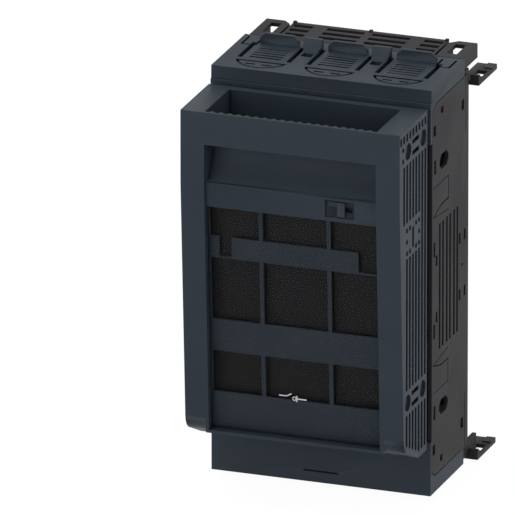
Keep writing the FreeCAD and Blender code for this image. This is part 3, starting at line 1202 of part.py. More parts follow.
def arc_plates(pole, x):
    """A stack of notched steel splitter plates above the upper jaw, held between the chamber walls."""
    plates = []
    for index in range(int(value("arc_count"))):
        low = f"arc_first + {index} * arc_pitch"
        plate = block(f"arc_plate_{pole}_{index}", (f"{x} - {ARC_HALF}", f"{x} + {ARC_HALF}"),
                      (depth("arc_front"), depth("arc_back")), (low, f"{low} + arc_plate"))
        notch = prism(f"arc_notch_{pole}_{index}", "xy", [
            (f"{x} - arc_notch / 2", depth("arc_front - 1")),
            (f"{x} + arc_notch / 2", depth("arc_front - 1")),
            (x, depth("arc_front + arc_notch")),
        ], f"{low} - 1", f"{low} + arc_plate + 1")
        plates.append(cut(f"arc_splitter_{pole}_{index}", plate, notch))
    return nodes_named(f"arc_plates_{pole}", group(f"arc_stack_{pole}", *plates))


def all_nodes():
    """Every sub-part, in the order in which it would be put together on a bench."""
    nodes = [base_housing()]
    for pole, x in POLES.items():
        for end in ("upper", "lower"):
            nodes.append(jaw_contact(pole, x, end))
            nodes.append(jaw_spring(pole, x, end))
        nodes.append(arc_plates(pole, x))
    for end in ("upper", "lower"):
        nodes.append(terminal_washers(end))
        nodes.append(terminal_screws(end))
        for side in ("left", "right"):
            nodes.append(mounting_foot(side, end))
    nodes.append(terminal_cover("top_terminal_cover"))
    nodes.append(terminal_cover("bottom_terminal_cover"))
    nodes.append(lid_frame())
    nodes.append(inspection_window())
    nodes.append(lock_slide())
    nodes.append(hinge_pins())
    for pole, x in POLES.items():
        nodes.append(fuse_holder(pole, x))
    return nodes


NODES = all_nodes()
doc.recompute()

for thing in doc.Objects:
    if "Invalid" in thing.State or "Error" in thing.State:
        raise RuntimeError(f"{thing.Name} did not build: {thing.State}")
for node in NODES:
    if node.Shape.isNull() or not node.Shape.isValid() or node.Shape.Volume <= 0:
        raise RuntimeError(f"{node.Label} has no sound shape")

for node in NODES:
    node.Shape.exportStep(f"parts/{node.Label}.step")
    print(f"{node.Label}: {len(node.Shape.Solids)} solids, {node.Shape.Volume / 1000:.2f} cubic centimetres")
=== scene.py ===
# %% [markdown]
# # A three-pole fuse switch disconnector
# This switch hangs on the back plate of a distribution board. Its lid carries three blade fuses,
# and pulling the lid out on its hinge breaks all three circuits at once. Nearly everything that
# shows is dark thermoplastic: a warm grey base, two terminal covers, and a blue-grey lid whose
# inspection windows look nearly black. The CAD model gives every piece at its real size, so this
# lesson loads it as a fixed frame, and works on what a camera sees: edges, surfaces and light.

# %% Load the frame
import math
import bmesh
import bpy
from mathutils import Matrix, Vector


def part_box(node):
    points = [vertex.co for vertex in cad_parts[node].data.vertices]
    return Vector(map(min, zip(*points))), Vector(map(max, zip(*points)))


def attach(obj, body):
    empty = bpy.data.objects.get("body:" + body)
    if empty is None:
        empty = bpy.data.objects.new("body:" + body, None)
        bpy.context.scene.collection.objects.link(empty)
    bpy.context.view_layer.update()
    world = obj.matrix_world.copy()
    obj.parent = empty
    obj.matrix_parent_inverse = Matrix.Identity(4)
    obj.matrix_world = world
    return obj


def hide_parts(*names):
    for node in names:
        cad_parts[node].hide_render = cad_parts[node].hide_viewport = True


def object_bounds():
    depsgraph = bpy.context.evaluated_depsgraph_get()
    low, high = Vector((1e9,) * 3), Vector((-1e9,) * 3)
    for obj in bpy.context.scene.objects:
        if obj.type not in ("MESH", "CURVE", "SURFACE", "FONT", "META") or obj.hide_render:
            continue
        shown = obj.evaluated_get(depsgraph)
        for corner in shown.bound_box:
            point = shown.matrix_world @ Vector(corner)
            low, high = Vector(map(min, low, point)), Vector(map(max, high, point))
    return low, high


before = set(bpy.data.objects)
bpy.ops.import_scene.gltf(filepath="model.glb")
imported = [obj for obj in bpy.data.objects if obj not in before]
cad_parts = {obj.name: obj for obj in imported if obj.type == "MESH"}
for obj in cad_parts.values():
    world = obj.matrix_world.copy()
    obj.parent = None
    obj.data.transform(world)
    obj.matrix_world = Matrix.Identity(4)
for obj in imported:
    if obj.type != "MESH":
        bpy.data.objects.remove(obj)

MM = 0.001
cad_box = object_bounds()

# %% [markdown]
# The camera comes first, because every later choice is judged through it. The switch is seen from
# about 20 degrees to its right and 20 degrees above, and its upright edges stay almost parallel.
# A camera close by would spread them, so this one stands ten metres away with a very long lens.
# A shifted lens would do the same, but it behaves badly when the camera is moved to other views.

# %% Camera
AZIMUTH = math.radians(19.81)
ELEVATION = math.radians(19.80)
VIEW_WIDTH = 234.3 * MM
CAMERA_DISTANCE = 10.0
target = Vector((-34.1, -72.8, 3.9)) * MM
towards_camera = Vector((math.cos(ELEVATION) * math.sin(AZIMUTH),
                         -math.cos(ELEVATION) * math.cos(AZIMUTH),
                         math.sin(ELEVATION)))

bpy.ops.object.camera_add(location=target + towards_camera * CAMERA_DISTANCE)
camera = bpy.context.object
camera.rotation_euler = towards_camera.to_track_quat("Z", "Y").to_euler()
camera.data.sensor_width = 36.0
camera.data.lens = camera.data.sensor_width * CAMERA_DISTANCE / VIEW_WIDTH
camera.data.clip_end = 100.0
bpy.context.scene.camera = camera
bpy.context.scene.view_settings.view_transform = "Standard"
print("lens:", round(camera.data.lens), "mm")

# %% [markdown]
# Every material below is built from nodes, and two small helpers keep that readable. Colours are
# written as the hex values that a colour picker shows, and one function turns them into the linear
# values that a renderer works with. The other adds a node with its settings and its links.

# %% Helpers for materials
def linear(hex_colour):
    """The linear RGBA value of an sRGB hex colour such as #343B41."""
    parts = [int(hex_colour[i:i + 2], 16) / 255 for i in (1, 3, 5)]
    return tuple(c / 12.92 if c <= 0.04045 else ((c + 0.055) / 1.055) ** 2.4 for c in parts) + (1.0,)


def add_node(tree, kind, sockets=None, **settings):
    """Adds a node. A socket takes a plain value, or a link where it is given another node's output."""
    node = tree.nodes.new(kind)
    for name, setting in settings.items():
        setattr(node, name, setting)
    for name, given in (sockets or {}).items():
        if isinstance(given, bpy.types.NodeSocket):
            tree.links.new(given, node.inputs[name])
        else:
            node.inputs[name].default_value = given
    return node


def new_material(name):
    """An empty node material, with its tree."""
    material = bpy.data.materials.new(name)
    material.use_nodes = True
    material.node_tree.nodes.clear()
    return material, material.node_tree

# %% [markdown]
# The stage is a white floor under a white world, as in a product photograph. A white background is
# often made by flooding the floor with lamps, but that light bounces back and bleaches the object.
# Here the floor and the world shine white only for rays that come from the camera, or that a glossy
# or clear surface sends on, and light the object at a plain level. Part of the floor stays an
# ordinary matt white, which keeps the faint shadow that says that the switch stands on it.

# %% Floor and world
def seen_rays(tree):
    """One for rays from the camera, or on their way from a glossy or clear surface."""
    path = add_node(tree, "ShaderNodeLightPath").outputs
    bright = add_node(tree, "ShaderNodeMath", {0: path["Is Camera Ray"], 1: path["Is Glossy Ray"]},
                      operation="MAXIMUM").outputs[0]
    return add_node(tree, "ShaderNodeMath", {0: bright, 1: path["Is Transmission Ray"]},
                    operation="MAXIMUM").outputs[0]


AMBIENT = 0.50
world = bpy.data.worlds.new("White studio")
world.use_nodes = True
sky = world.node_tree
sky.nodes.clear()
soft = add_node(sky, "ShaderNodeBackground", {"Color": linear("#F4F6FA"), "Strength": AMBIENT})
white = add_node(sky, "ShaderNodeBackground", {"Color": (1, 1, 1, 1), "Strength": 1.0})
either = add_node(sky, "ShaderNodeMixShader", {0: seen_rays(sky), 1: soft.outputs[0],
                                               2: white.outputs[0]})
add_node(sky, "ShaderNodeOutputWorld", {"Surface": either.outputs[0]})
bpy.context.scene.world = world

FLOOR_SHARE = 0.10
FLOOR_GLOW = 1.07
FLOOR_SIZE = 60.0
bpy.ops.mesh.primitive_plane_add(size=FLOOR_SIZE, location=(0, 0, cad_box[0].z))
floor = bpy.context.object
floor.name = "floor"
floor_material, tree = new_material("Matt white paint")
paint = add_node(tree, "ShaderNodeBsdfDiffuse", {"Color": linear("#F2F2F2")})
glow = add_node(tree, "ShaderNodeEmission", {"Color": (1, 1, 1, 1), "Strength": FLOOR_GLOW})
share = add_node(tree, "ShaderNodeMath", {0: seen_rays(tree), 1: 1 - FLOOR_SHARE}, operation="MULTIPLY")
mixed = add_node(tree, "ShaderNodeMixShader", {0: share.outputs[0], 1: paint.outputs[0],
                                               2: glow.outputs[0]})
add_node(tree, "ShaderNodeOutputMaterial", {"Surface": mixed.outputs[0]})
floor.data.materials.append(floor_material)
print("floor at", round(cad_box[0].z / MM, 1), "mm")

# %% [markdown]
# Three large soft lamps do the modelling. The top faces of the switch are its lightest, so the
# light is strongest from overhead. A lamp well out in front and a weaker one to the right bring up
# the other two sides. Their size matters more than their number, because a large lamp gives soft
# edges to shadows and a broad sheen on moulded plastic.

# %% Lamps
LAMP_AIM = Vector((0, -0.08, 0))
LAMPS = {
    "overhead lamp": ((-0.35, -0.25, 1.5), 1.2, 8.4),
    "right lamp": ((1.6, -0.7, 0.7), 1.2, 4.4),
    "front lamp": ((-0.7, -1.9, 0.45), 1.4, 8.2),
}


def soft_lamp(name, place, size, watts):
    """A square lamp at a place in metres, turned towards the middle of the switch."""
    bpy.ops.object.light_add(type="AREA", location=place)
    lamp = bpy.context.object
    lamp.name = name
    lamp.data.size = size
    lamp.data.energy = watts
    lamp.rotation_euler = (Vector(place) - LAMP_AIM).to_track_quat("Z", "Y").to_euler()


for name, (place, size, watts) in LAMPS.items():
    soft_lamp(name, place, size, watts)
print("lamps:", list(LAMPS))

# %% [markdown]
# Glass-filled polyamide and polyester are what such a switch is moulded from. The steel mould is
# spark eroded, which leaves a fine even grain on every face, so the plastic looks dark and dull
# with a soft sheen and no clear reflections. A photograph could be laid on as a texture, but grain
# made from noise has no seams and keeps its real size on every piece. The grain of such a finish is
# about a tenth of a millimetre, too fine to show here, so it is drawn at three tenths. A slow, very
# weak cloud in the colour and another in the roughness stand for flow marks and handling. Narrow
# grooves get painted shade: the colour is lowered where walls stand close together, so that they
# look darker than the lamps alone make them. Nearly all of a noise texture's values lie between
# 0.3 and 0.7, so that span is stretched to the range that each socket needs.

# %% Moulded plastic
NOISE_SPAN = {"From Min": 0.3, "From Max": 0.7}
GRAIN = 0.3 * MM
GRAIN_HEIGHT = 0.006 * MM
FLOW = 22 * MM
GROOVE_REACH = 2.5 * MM
GROOVE_SHADE = 0.15
EDGE_WEAR = 0.35
PLASTIC_SHEEN = 0.13


def moulded_plastic(name, shade, roughness, worn, ior=1.53, grain_height=GRAIN_HEIGHT):
    """Spark-eroded thermoplastic. Worn is the lighter tone that its rubbed edges take."""
    material, tree = new_material(name)
    place = add_node(tree, "ShaderNodeTexCoord").outputs["Object"]
    flow = add_node(tree, "ShaderNodeTexNoise", {"Vector": place, "Scale": 1 / FLOW, "Detail": 3.0})
    tone = add_node(tree, "ShaderNodeMapRange", {"Value": flow.outputs["Fac"], **NOISE_SPAN,
                                                 "To Min": 0.94, "To Max": 1.06})
    # painted shade: the colour is darkened where the piece's own walls stand close, as in narrow grooves
    narrow = add_node(tree, "ShaderNodeAmbientOcclusion", {"Distance": GROOVE_REACH}, samples=8,
                      only_local=True)
    painted_groove_shade = add_node(tree, "ShaderNodeMapRange", {"Value": narrow.outputs["AO"], "From Min": 0.35,
                                                  "From Max": 0.85, "To Min": GROOVE_SHADE, "To Max": 1.0})
    tone_and_groove_shade = add_node(tree, "ShaderNodeMath", {0: tone.outputs[0], 1: painted_groove_shade.outputs[0]},
                     operation="MULTIPLY")
    tinted = add_node(tree, "ShaderNodeVectorMath", {0: linear(shade)[:3], "Scale": tone_and_groove_shade.outputs[0]},
                      operation="SCALE")
    edge = add_node(tree, "ShaderNodeNewGeometry").outputs["Pointiness"]
    rubbed = add_node(tree, "ShaderNodeMapRange", {"Value": edge, "From Min": 0.54, "From Max": 0.66,
                                                   "To Min": 0.0, "To Max": EDGE_WEAR})
    colour = add_node(tree, "ShaderNodeMix", {"Factor": rubbed.outputs[0], 6: tinted.outputs[0],
                                              7: linear(worn)}, data_type="RGBA")
    grain = add_node(tree, "ShaderNodeTexNoise", {"Vector": place, "Scale": 1 / GRAIN, "Detail": 2.0})
    pits = add_node(tree, "ShaderNodeBump", {"Height": grain.outputs["Fac"], "Strength": 0.5,
                                             "Distance": grain_height})
    handled = add_node(tree, "ShaderNodeTexNoise", {"Vector": place, "Scale": 0.6 / FLOW, "Detail": 4.0})
    sheen = add_node(tree, "ShaderNodeMapRange", {"Value": handled.outputs["Fac"], **NOISE_SPAN,
                                                  "To Min": roughness - 0.05,
                                                  "To Max": roughness + 0.05})
    shader = add_node(tree, "ShaderNodeBsdfPrincipled", {"Base Color": colour.outputs[2],
                                                         "Roughness": sheen.outputs[0],
                                                         "Normal": pits.outputs[0], "IOR": ior,
                                                         "Specular IOR Level": PLASTIC_SHEEN})
    add_node(tree, "ShaderNodeOutputMaterial", {"Surface": shader.outputs[0]})
    return material


lid_plastic = moulded_plastic("Polyamide, blue grey", "#2D363E", 0.50, "#4A5259")
cover_plastic = moulded_plastic("Polyamide, slate", "#2C353D", 0.52, "#464E55")
base_plastic = moulded_plastic("Polyester, warm grey", "#2A272A", 0.58, "#464447")
holder_plastic = moulded_plastic("Polyester, charcoal", "#1E2022", 0.55, "#3A3C40")
# the carrier caps' near-black is partly their own colour and partly painted shade for the dim lid inside
carrier_and_shade_plastic = moulded_plastic("Polyamide, black", "#0F1012", 0.50, "#26282B",
                                  grain_height=0.0005 * MM)
bed_plastic = moulded_plastic("Polyamide, blue black", "#181D22", 0.50, "#2C3238")
slide_plastic = moulded_plastic("Acetal, grey", "#2E343B", 0.42, "#5A6068", ior=1.48)
print("plastics:", [material.name for material in (lid_plastic, cover_plastic, base_plastic, holder_plastic,
                                                   carrier_and_shade_plastic, bed_plastic, slide_plastic)])

# %% [markdown]
# The inspection window is a flat sheet of clear polycarbonate, extruded and cut to size, so it is
# smoother than the moulded parts round it. It slides in front of the lattice, and what makes the
# windows dark is the dim space behind them. Full refraction could be traced through it, but a thin
# flat sheet bends nothing that anyone would see. It is therefore a see-through surface with a weak
# warm tint and a little sheen of its own, and the lattice behind it stays readable.

# %% Clear polycarbonate
SHEET_SHEEN = 0.2


def clear_sheet(name, shade, cover):
    """A see-through sheet. Cover is the share of light that its own tint keeps back."""
    material, tree = new_material(name)
    place = add_node(tree, "ShaderNodeTexCoord").outputs["Object"]
    haze = add_node(tree, "ShaderNodeTexNoise", {"Vector": place, "Scale": 1 / (9 * MM), "Detail": 5.0})
    dulled = add_node(tree, "ShaderNodeMapRange", {"Value": haze.outputs["Fac"], **NOISE_SPAN,
                                                   "To Min": 0.16, "To Max": 0.26})
    shader = add_node(tree, "ShaderNodeBsdfPrincipled", {"Base Color": linear(shade),
                                                         "Roughness": dulled.outputs[0],
                                                         "IOR": 1.585, "Alpha": cover,
                                                         "Specular IOR Level": SHEET_SHEEN})
    add_node(tree, "ShaderNodeOutputMaterial", {"Surface": shader.outputs[0]})
    return material


window_plastic = clear_sheet("Polycarbonate, clear", "#2A2624", 0.08)

# %% [markdown]
# The metal inside is tinned copper at the jaws, blue-grey spring steel over them, bright zinc on
# the screws and dull pressed steel in the arc plates. Metals take their look from how they were
# made, so one function draws them all: a base colour, a roughness, and fine scratches drawn out
# along one direction, as a rolled sheet or a turned screw has.

# %% Metals
def worked_metal(name, shade, roughness, stretch, scratch=0.4 * MM):
    """Metal with fine tool marks. Stretch is how much longer than wide they are along X, Y and Z."""
    material, tree = new_material(name)
    place = add_node(tree, "ShaderNodeTexCoord").outputs["Object"]
    drawn = add_node(tree, "ShaderNodeMapping", {"Vector": place, "Scale": [1 / s for s in stretch]})
    marks = add_node(tree, "ShaderNodeTexNoise", {"Vector": drawn.outputs[0], "Scale": 1 / scratch,
                                                  "Detail": 4.0})
    dull = add_node(tree, "ShaderNodeMapRange", {"Value": marks.outputs["Fac"], **NOISE_SPAN,
                                                 "To Min": roughness - 0.08,
                                                 "To Max": roughness + 0.08})
    stain = add_node(tree, "ShaderNodeTexNoise", {"Vector": place, "Scale": 1 / (6 * MM), "Detail": 3.0})
    tone = add_node(tree, "ShaderNodeMapRange", {"Value": stain.outputs["Fac"], **NOISE_SPAN,
                                                 "To Min": 0.88, "To Max": 1.05})
    colour = add_node(tree, "ShaderNodeVectorMath", {0: linear(shade)[:3], "Scale": tone.outputs[0]},
                      operation="SCALE")
    bump = add_node(tree, "ShaderNodeBump", {"Height": marks.outputs["Fac"], "Strength": 0.3,
                                             "Distance": 0.01 * MM})
    shader = add_node(tree, "ShaderNodeBsdfPrincipled", {"Base Color": colour.outputs[0], "Metallic": 1.0,
                                                         "Roughness": dull.outputs[0],
                                                         "Normal": bump.outputs[0]})
    add_node(tree, "ShaderNodeOutputMaterial", {"Surface": shader.outputs[0]})
    return material


tinned_copper = worked_metal("Copper, tinned", "#C9C6BE", 0.34, (1, 8, 1))
spring_steel = worked_metal("Spring steel, blued", "#8F959C", 0.30, (1, 8, 1))
pressed_steel = worked_metal("Sheet steel, zinc plated", "#A9ABAA", 0.42, (6, 1, 1))
turned_steel = worked_metal("Steel screw, zinc plated", "#BFC2C4", 0.28, (1, 1, 4))

# %% [markdown]
# Each node of the CAD model now gets its finish. They could be given one by one, but most names
# begin with what the piece is, so one table of beginnings covers all of them.

# %% Materials for the CAD nodes
NODE_FINISHES = {
    "jaw_contact": tinned_copper, "jaw_spring": spring_steel, "arc_plates": pressed_steel,
    "terminal_screws": turned_steel, "terminal_washers": pressed_steel, "hinge_pins": turned_steel,
    "fuse_holder": holder_plastic, "mounting_foot": base_plastic, "base_housing": base_plastic,
    "lid_frame": lid_plastic, "top_terminal_cover": cover_plastic, "bottom_terminal_cover": cover_plastic,
    "lock_slide": slide_plastic, "inspection_window": window_plastic,
}


def finish_of(node_name):
    """The finish whose key begins the node's name."""
    return next(finish for key, finish in NODE_FINISHES.items() if node_name.startswith(key))


for node_name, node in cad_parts.items():
    node.data.materials.clear()
    node.data.materials.append(finish_of(node_name))
print("nodes with a finish:", len(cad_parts))

# %% [markdown]
# A moulded edge is never sharp: the mould is cut with a small radius and the plastic shrinks from
# it, and that thin line of light is most of what tells plastic from a drawing. The shape of each
# housing is right in the CAD model, so it isn't modelled again. Its mesh is copied, its loose
# triangles are merged and the flat ones joined, and a bevel rounds its edges. A bevel between two
# faces that are hardly wider than itself folds over, so each edge is measured first, and only the
# outer edges with room beside them get a weight for the bevel. Weighted normals then keep the
# large faces flat, so that only the rounded edges catch the light.

# %% Copies with moulded edges
MERGE_WITHIN = 0.004 * MM
FLAT_ANGLE = math.radians(1.0)
SHARP_ANGLE = math.radians(40)
SMOOTH_ANGLE = math.radians(50)
RADII_ALONG = 6
RADII_BESIDE = 3
RADII_ACROSS = 30


def select_only(piece):
    """Leaves one object selected and active."""
    bpy.ops.object.select_all(action="DESELECT")
    piece.select_set(True)
    bpy.context.view_layer.objects.active = piece


def mark_edges_with_room(piece, radius):
    """Gives a bevel weight to each outer edge that a bevel of this radius fits, and counts them."""
    shape = bmesh.new()
    shape.from_mesh(piece.data)
    weight = shape.edges.layers.float.new("bevel_weight_edge")
    marked = 0
    for edge in shape.edges:
        if len(edge.link_faces) != 2 or edge.calc_length() < RADII_ALONG * radius or not edge.is_convex:
            continue
        if edge.calc_face_angle() < SHARP_ANGLE:
            continue
        beside = {other for corner in edge.verts for other in corner.link_edges} - {edge}
        if min(other.calc_length() for other in beside) < RADII_BESIDE * radius:
            continue
        if min(face.calc_area() for face in edge.link_faces) < RADII_ACROSS * radius * radius:
            continue
        edge[weight] = 1.0
        marked += 1
    shape.to_mesh(piece.data)
    shape.free()
    return marked


def apply_modifier(piece, name, kind, **settings):
    """Adds a modifier with its settings to the active piece, and applies it."""
    modifier = piece.modifiers.new(name, kind)
    for key, setting in settings.items():
        setattr(modifier, key, setting)
    bpy.ops.object.modifier_apply(modifier=modifier.name)


def cut_out(piece, cutter):
    """Cuts the shape of a cutter out of the active piece, and removes the cutter."""
    apply_modifier(piece, "Opening", "BOOLEAN", object=cutter)
    bpy.data.objects.remove(cutter)


def moulded_copy(node_name, name, radius, cutter=None):
    """A copy of a CAD node with rounded edges, which stands for the node. A cutter is taken out of it."""
    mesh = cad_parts[node_name].data.copy()
    piece = bpy.data.objects.new(name, mesh)
    bpy.context.scene.collection.objects.link(piece)
    select_only(piece)
    bpy.ops.object.mode_set(mode="EDIT")
    bpy.ops.mesh.select_all(action="SELECT")
    bpy.ops.mesh.remove_doubles(threshold=MERGE_WITHIN)
    bpy.ops.mesh.dissolve_limited(angle_limit=FLAT_ANGLE)
    bpy.ops.object.mode_set(mode="OBJECT")
    if cutter:
        cut_out(piece, cutter)
    marked = mark_edges_with_room(piece, radius)
    apply_modifier(piece, "Rounded edges", "BEVEL", width=radius, segments=2, limit_method="WEIGHT",
                   use_clamp_overlap=False, loop_slide=False)
    bpy.ops.object.shade_smooth_by_angle(angle=SMOOTH_ANGLE)
    apply_modifier(piece, "Flat faces", "WEIGHTED_NORMAL", keep_sharp=True)
    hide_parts(node_name)
    print(name, "edges rounded:", marked, "faces:", len(piece.data.polygons))
    return piece


POLES = ("left", "middle", "right")
MOULDINGS = {
    "lid_frame": ("lid_moulding", "lid", 0.25 * MM),
    "lock_slide": ("lock_slide_moulding", "lock", 0.15 * MM),
    "top_terminal_cover": ("top_cover_moulding", "base", 0.2 * MM),
    "base_housing": ("base_moulding", "base", 0.2 * MM),
}
for pole in POLES:
    MOULDINGS[f"fuse_holder_{pole}"] = (f"holder_moulding_{pole}", "lid", 0.3 * MM)
for corner in ("upper_left", "upper_right", "lower_left", "lower_right"):
    MOULDINGS[f"mounting_foot_{corner}"] = (f"foot_moulding_{corner}", "base", 0.2 * MM)
for node_name, (name, body, radius) in MOULDINGS.items():
    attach(moulded_copy(node_name, name, radius), body)

# %% [markdown]
# The bottom cover has a narrow slot in its front, where a screwdriver lifts it off. The same cutting
# could be done by hand in edit mode, face by face. A boolean with a plain cutter is quicker and
# leaves a clean slot, as the slide of the mould does, and it comes before the edges are rounded, so
# that the slot's own edges stay crisp.

# %% Bottom cover with its pry slot
PRY_LONG = 16.6 * MM
PRY_TALL = 0.9 * MM
PRY_DEEP = 0.9 * MM
PRY_RISE = 10.4 * MM


def block(name, middle, size):
    """A plain block to cut with, or to start a piece from."""
    bpy.ops.object.select_all(action="DESELECT")
    bpy.ops.mesh.primitive_cube_add(size=1.0, location=middle, scale=size)
    piece = bpy.context.object
    piece.name = name
    bpy.ops.object.transform_apply(location=True, rotation=True, scale=True)
    return piece


low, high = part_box("bottom_terminal_cover")
pry_slot = block("pry_slot_cutter", ((low.x + high.x) / 2, low.y, low.z + PRY_RISE),
                 (PRY_LONG, 2 * PRY_DEEP, PRY_TALL))
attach(moulded_copy("bottom_terminal_cover", "bottom_cover_moulding", 0.2 * MM, cutter=pry_slot), "base")

# %% [markdown]
# Behind each pole's windows sits the closed front of its fuse carrier, a dark moulded cap. It keeps
# fingers and stray light out. Its near-black colour is partly the cap's own and partly painted shade,
# standing for the dim space inside the lid, and it is why the windows look nearly black. The CAD
# model has the carrier's rails and claws, so only the cap is added. A flat sheet would do for the
# photograph, but it would look like card once the lid is open. Here a block is leaned back along the
# sheet, and its back is inset and pushed in, which leaves a thin-walled cap, as a mould does.

# %% The slope of the sheet
SHEET_THICK = 1.6 * MM
sheet_low, sheet_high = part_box("inspection_window")
sheet_lean = (sheet_high.y - SHEET_THICK - sheet_low.y) / (sheet_high.z - sheet_low.z)


def sheet_front(z):
    """The y of the sheet's front at a height."""
    return sheet_low.y + (sheet_high.z - z) * sheet_lean


print("the sheet leans back by", round(math.degrees(math.atan(sheet_lean)), 2), "degrees")

# %% Carrier fronts
FRONT_WIDE = 31.0 * MM
FRONT_BEHIND = 4.2 * MM
FRONT_OVERLAP = 1.5 * MM
FRONT_WALL = 1.6 * MM
POCKET_DEEP = 5.5 * MM
FRONT_EDGE = 0.4 * MM


def select_faces(piece, wanted):
    """Leaves the faces that pass a test selected, in edit mode."""
    bpy.ops.object.mode_set(mode="EDIT")
    bpy.ops.mesh.select_mode(type="FACE")
    bpy.ops.mesh.select_all(action="DESELECT")
    bpy.ops.object.mode_set(mode="OBJECT")
    for face in piece.data.polygons:
        face.select = wanted(face)
    bpy.ops.object.mode_set(mode="EDIT")


def carrier_front(pole):
    """The cap on the front of one fuse carrier, open towards the back."""
    low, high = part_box(f"fuse_holder_{pole}")
    front = sheet_front(low.z) + FRONT_BEHIND
    back = low.y + FRONT_OVERLAP
    top = sheet_high.z
    middle = ((low.x + high.x) / 2, (front + back) / 2, (low.z + top) / 2)
    piece = block(f"carrier_front_{pole}", middle, (FRONT_WIDE, back - front, top - low.z))
    for corner in piece.data.vertices:
        if corner.co.y < middle[1]:
            corner.co.y = sheet_front(corner.co.z) + FRONT_BEHIND
    select_faces(piece, lambda face: face.normal.y > 0.9)
    bpy.ops.mesh.inset(thickness=FRONT_WALL)
    bpy.ops.mesh.extrude_region_move(TRANSFORM_OT_translate={"value": (0, -POCKET_DEEP, 0)})
    bpy.ops.object.mode_set(mode="OBJECT")
    apply_modifier(piece, "Rounded edges", "BEVEL", width=FRONT_EDGE, segments=2)
    bpy.ops.object.shade_smooth_by_angle(angle=SMOOTH_ANGLE)
    piece.data.materials.append(carrier_and_shade_plastic)
    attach(piece, "lid")
    return piece


fronts = [carrier_front(pole) for pole in POLES]
print("carrier fronts:", [len(front.data.polygons) for front in fronts], "faces")

# %% [markdown]
# The lock slide runs in a sunk field beside the windows. On the real lid the field is a separate
# darker insert, which makes the small slide stand out. It could be a dark material on some faces of
# the lid, but a seam in the colour would show. A thin plate laid in the field, with a slit for the
# slide's stem, is cleaner and is how the real one is made.

# %% Bed of the lock slide
FIELD_ROOM = 0.7 * MM
FIELD_LEFT = 1.3 * MM
FIELD_RIGHT = 2.2 * MM
BED_THICK = 0.3 * MM
BED_GAP = 0.1 * MM
SLIT_LEFT = 5.2 * MM
SLIT_LONG = 6.4 * MM
SLIT_TALL = 2.4 * MM
PROBE_AWAY = 10 * MM

low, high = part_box("lock_slide")
field_left = low.x - FIELD_LEFT
field_right = high.x + FIELD_RIGHT
field_low = low.z - FIELD_ROOM
field_high = high.z + FIELD_ROOM
field_middle = (field_low + field_high) / 2
towards_lid = Vector((0, 1, 0))
probe_start = Vector((field_left + FIELD_ROOM, low.y - PROBE_AWAY, field_low + FIELD_ROOM))
found, floor_place, _, _ = bpy.data.objects["lid_moulding"].ray_cast(probe_start, towards_lid)
bed = block("lock_bed", ((field_left + field_right) / 2, floor_place.y - BED_THICK / 2, field_middle),
            (field_right - field_left - 2 * BED_GAP, BED_THICK, field_high - field_low - 2 * BED_GAP))
stem_slit = block("stem_slit_cutter", (low.x + SLIT_LEFT + SLIT_LONG / 2, floor_place.y, field_middle),
                  (SLIT_LONG, 4 * BED_THICK, SLIT_TALL))
select_only(bed)
cut_out(bed, stem_slit)
bed.data.materials.append(bed_plastic)
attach(bed, "lid")
print("lock bed:", len(bed.data.polygons), "faces, at y", round(floor_place.y / MM, 2), "mm, hit:", found)

# %% [markdown]
# A small white switch symbol is printed on the sheet: a line, an open blade, a hinge ring, a bar and
# a line, as on any drawing of a switch. It could be a mask in the sheet's material, but at this size
# its edges would blur. Thin strokes of ink, made as boxes and one ring, stay sharp, and they ride on
# the sheet when it slides.

# %% Printed switch symbol
INK_THICK = 0.10 * MM
STROKE = 0.55 * MM
SYMBOL_PLACE = (-1.6 * MM, -45.6 * MM)
SYMBOL_STROKES = [((-6.6, 0.9), (-3.0, 0.9)), ((-3.0, 0.9), (-0.9, 2.1)), ((1.9, -1.3), (1.9, 1.3)),
                  ((1.9, 0.0), (6.4, 0.0))]
RING_PLACE = 0.7 * MM
RING_RADIUS = 0.8 * MM
RING_WIRE = STROKE / 2.6
MOTTLE = 0.5 * MM

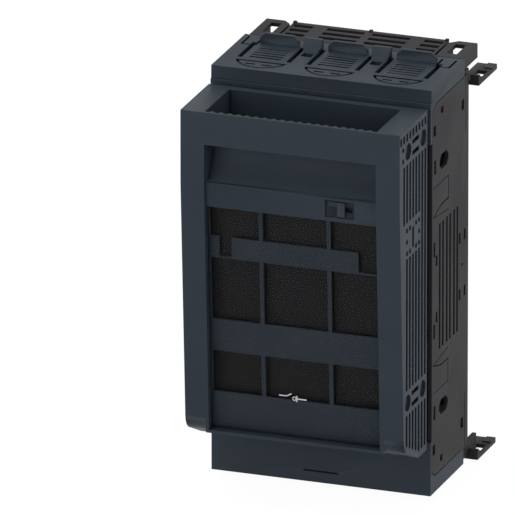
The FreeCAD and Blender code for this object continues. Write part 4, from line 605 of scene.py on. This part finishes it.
ink, tree = new_material("Screen print ink, white")
place = add_node(tree, "ShaderNodeTexCoord").outputs["Object"]
mottle = add_node(tree, "ShaderNodeTexNoise", {"Vector": place, "Scale": 1 / MOTTLE, "Detail": 2.0})
cover = add_node(tree, "ShaderNodeMapRange", {"Value": mottle.outputs["Fac"], "To Min": 0.85,
                                              "To Max": 1.05})
shade = add_node(tree, "ShaderNodeVectorMath", {0: linear("#D9DBDC")[:3], "Scale": cover.outputs[0]},
                 operation="SCALE")
film = add_node(tree, "ShaderNodeBsdfPrincipled", {"Base Color": shade.outputs[0], "Roughness": 0.45})
add_node(tree, "ShaderNodeOutputMaterial", {"Surface": film.outputs[0]})


def stroke(start, end):
    """A flat stroke of ink between two points of the symbol, in millimetres across and up."""
    (x1, z1), (x2, z2) = start, end
    bpy.ops.object.select_all(action="DESELECT")
    bpy.ops.mesh.primitive_cube_add(size=1.0, location=((x1 + x2) / 2 * MM, 0, (z1 + z2) / 2 * MM),
                                    rotation=(0, -math.atan2(z2 - z1, x2 - x1), 0),
                                    scale=(math.dist(start, end) * MM + STROKE / 2, INK_THICK, STROKE))
    return bpy.context.object


strokes = [stroke(start, end) for start, end in SYMBOL_STROKES]
bpy.ops.object.select_all(action="DESELECT")
bpy.ops.mesh.primitive_torus_add(location=(RING_PLACE, 0, 0), rotation=(math.pi / 2, 0, 0),
                                 major_segments=24, minor_segments=4, major_radius=RING_RADIUS,
                                 minor_radius=RING_WIRE)
symbol = bpy.context.object
symbol.name = "switch_symbol"
for part in strokes:
    part.select_set(True)
bpy.ops.object.transform_apply(location=True, rotation=True, scale=True)
for part in strokes + [symbol]:
    part.select_set(True)
bpy.context.view_layer.objects.active = symbol
bpy.ops.object.join()
symbol.location = (SYMBOL_PLACE[0], sheet_front(SYMBOL_PLACE[1]), SYMBOL_PLACE[1])
symbol.rotation_euler = (-math.atan(sheet_lean), 0, 0)
bpy.ops.object.transform_apply(location=True, rotation=True, scale=True)
symbol.data.materials.clear()
symbol.data.materials.append(ink)
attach(symbol, "window")
print("switch symbol:", len(symbol.data.polygons), "faces")

# %% [markdown]
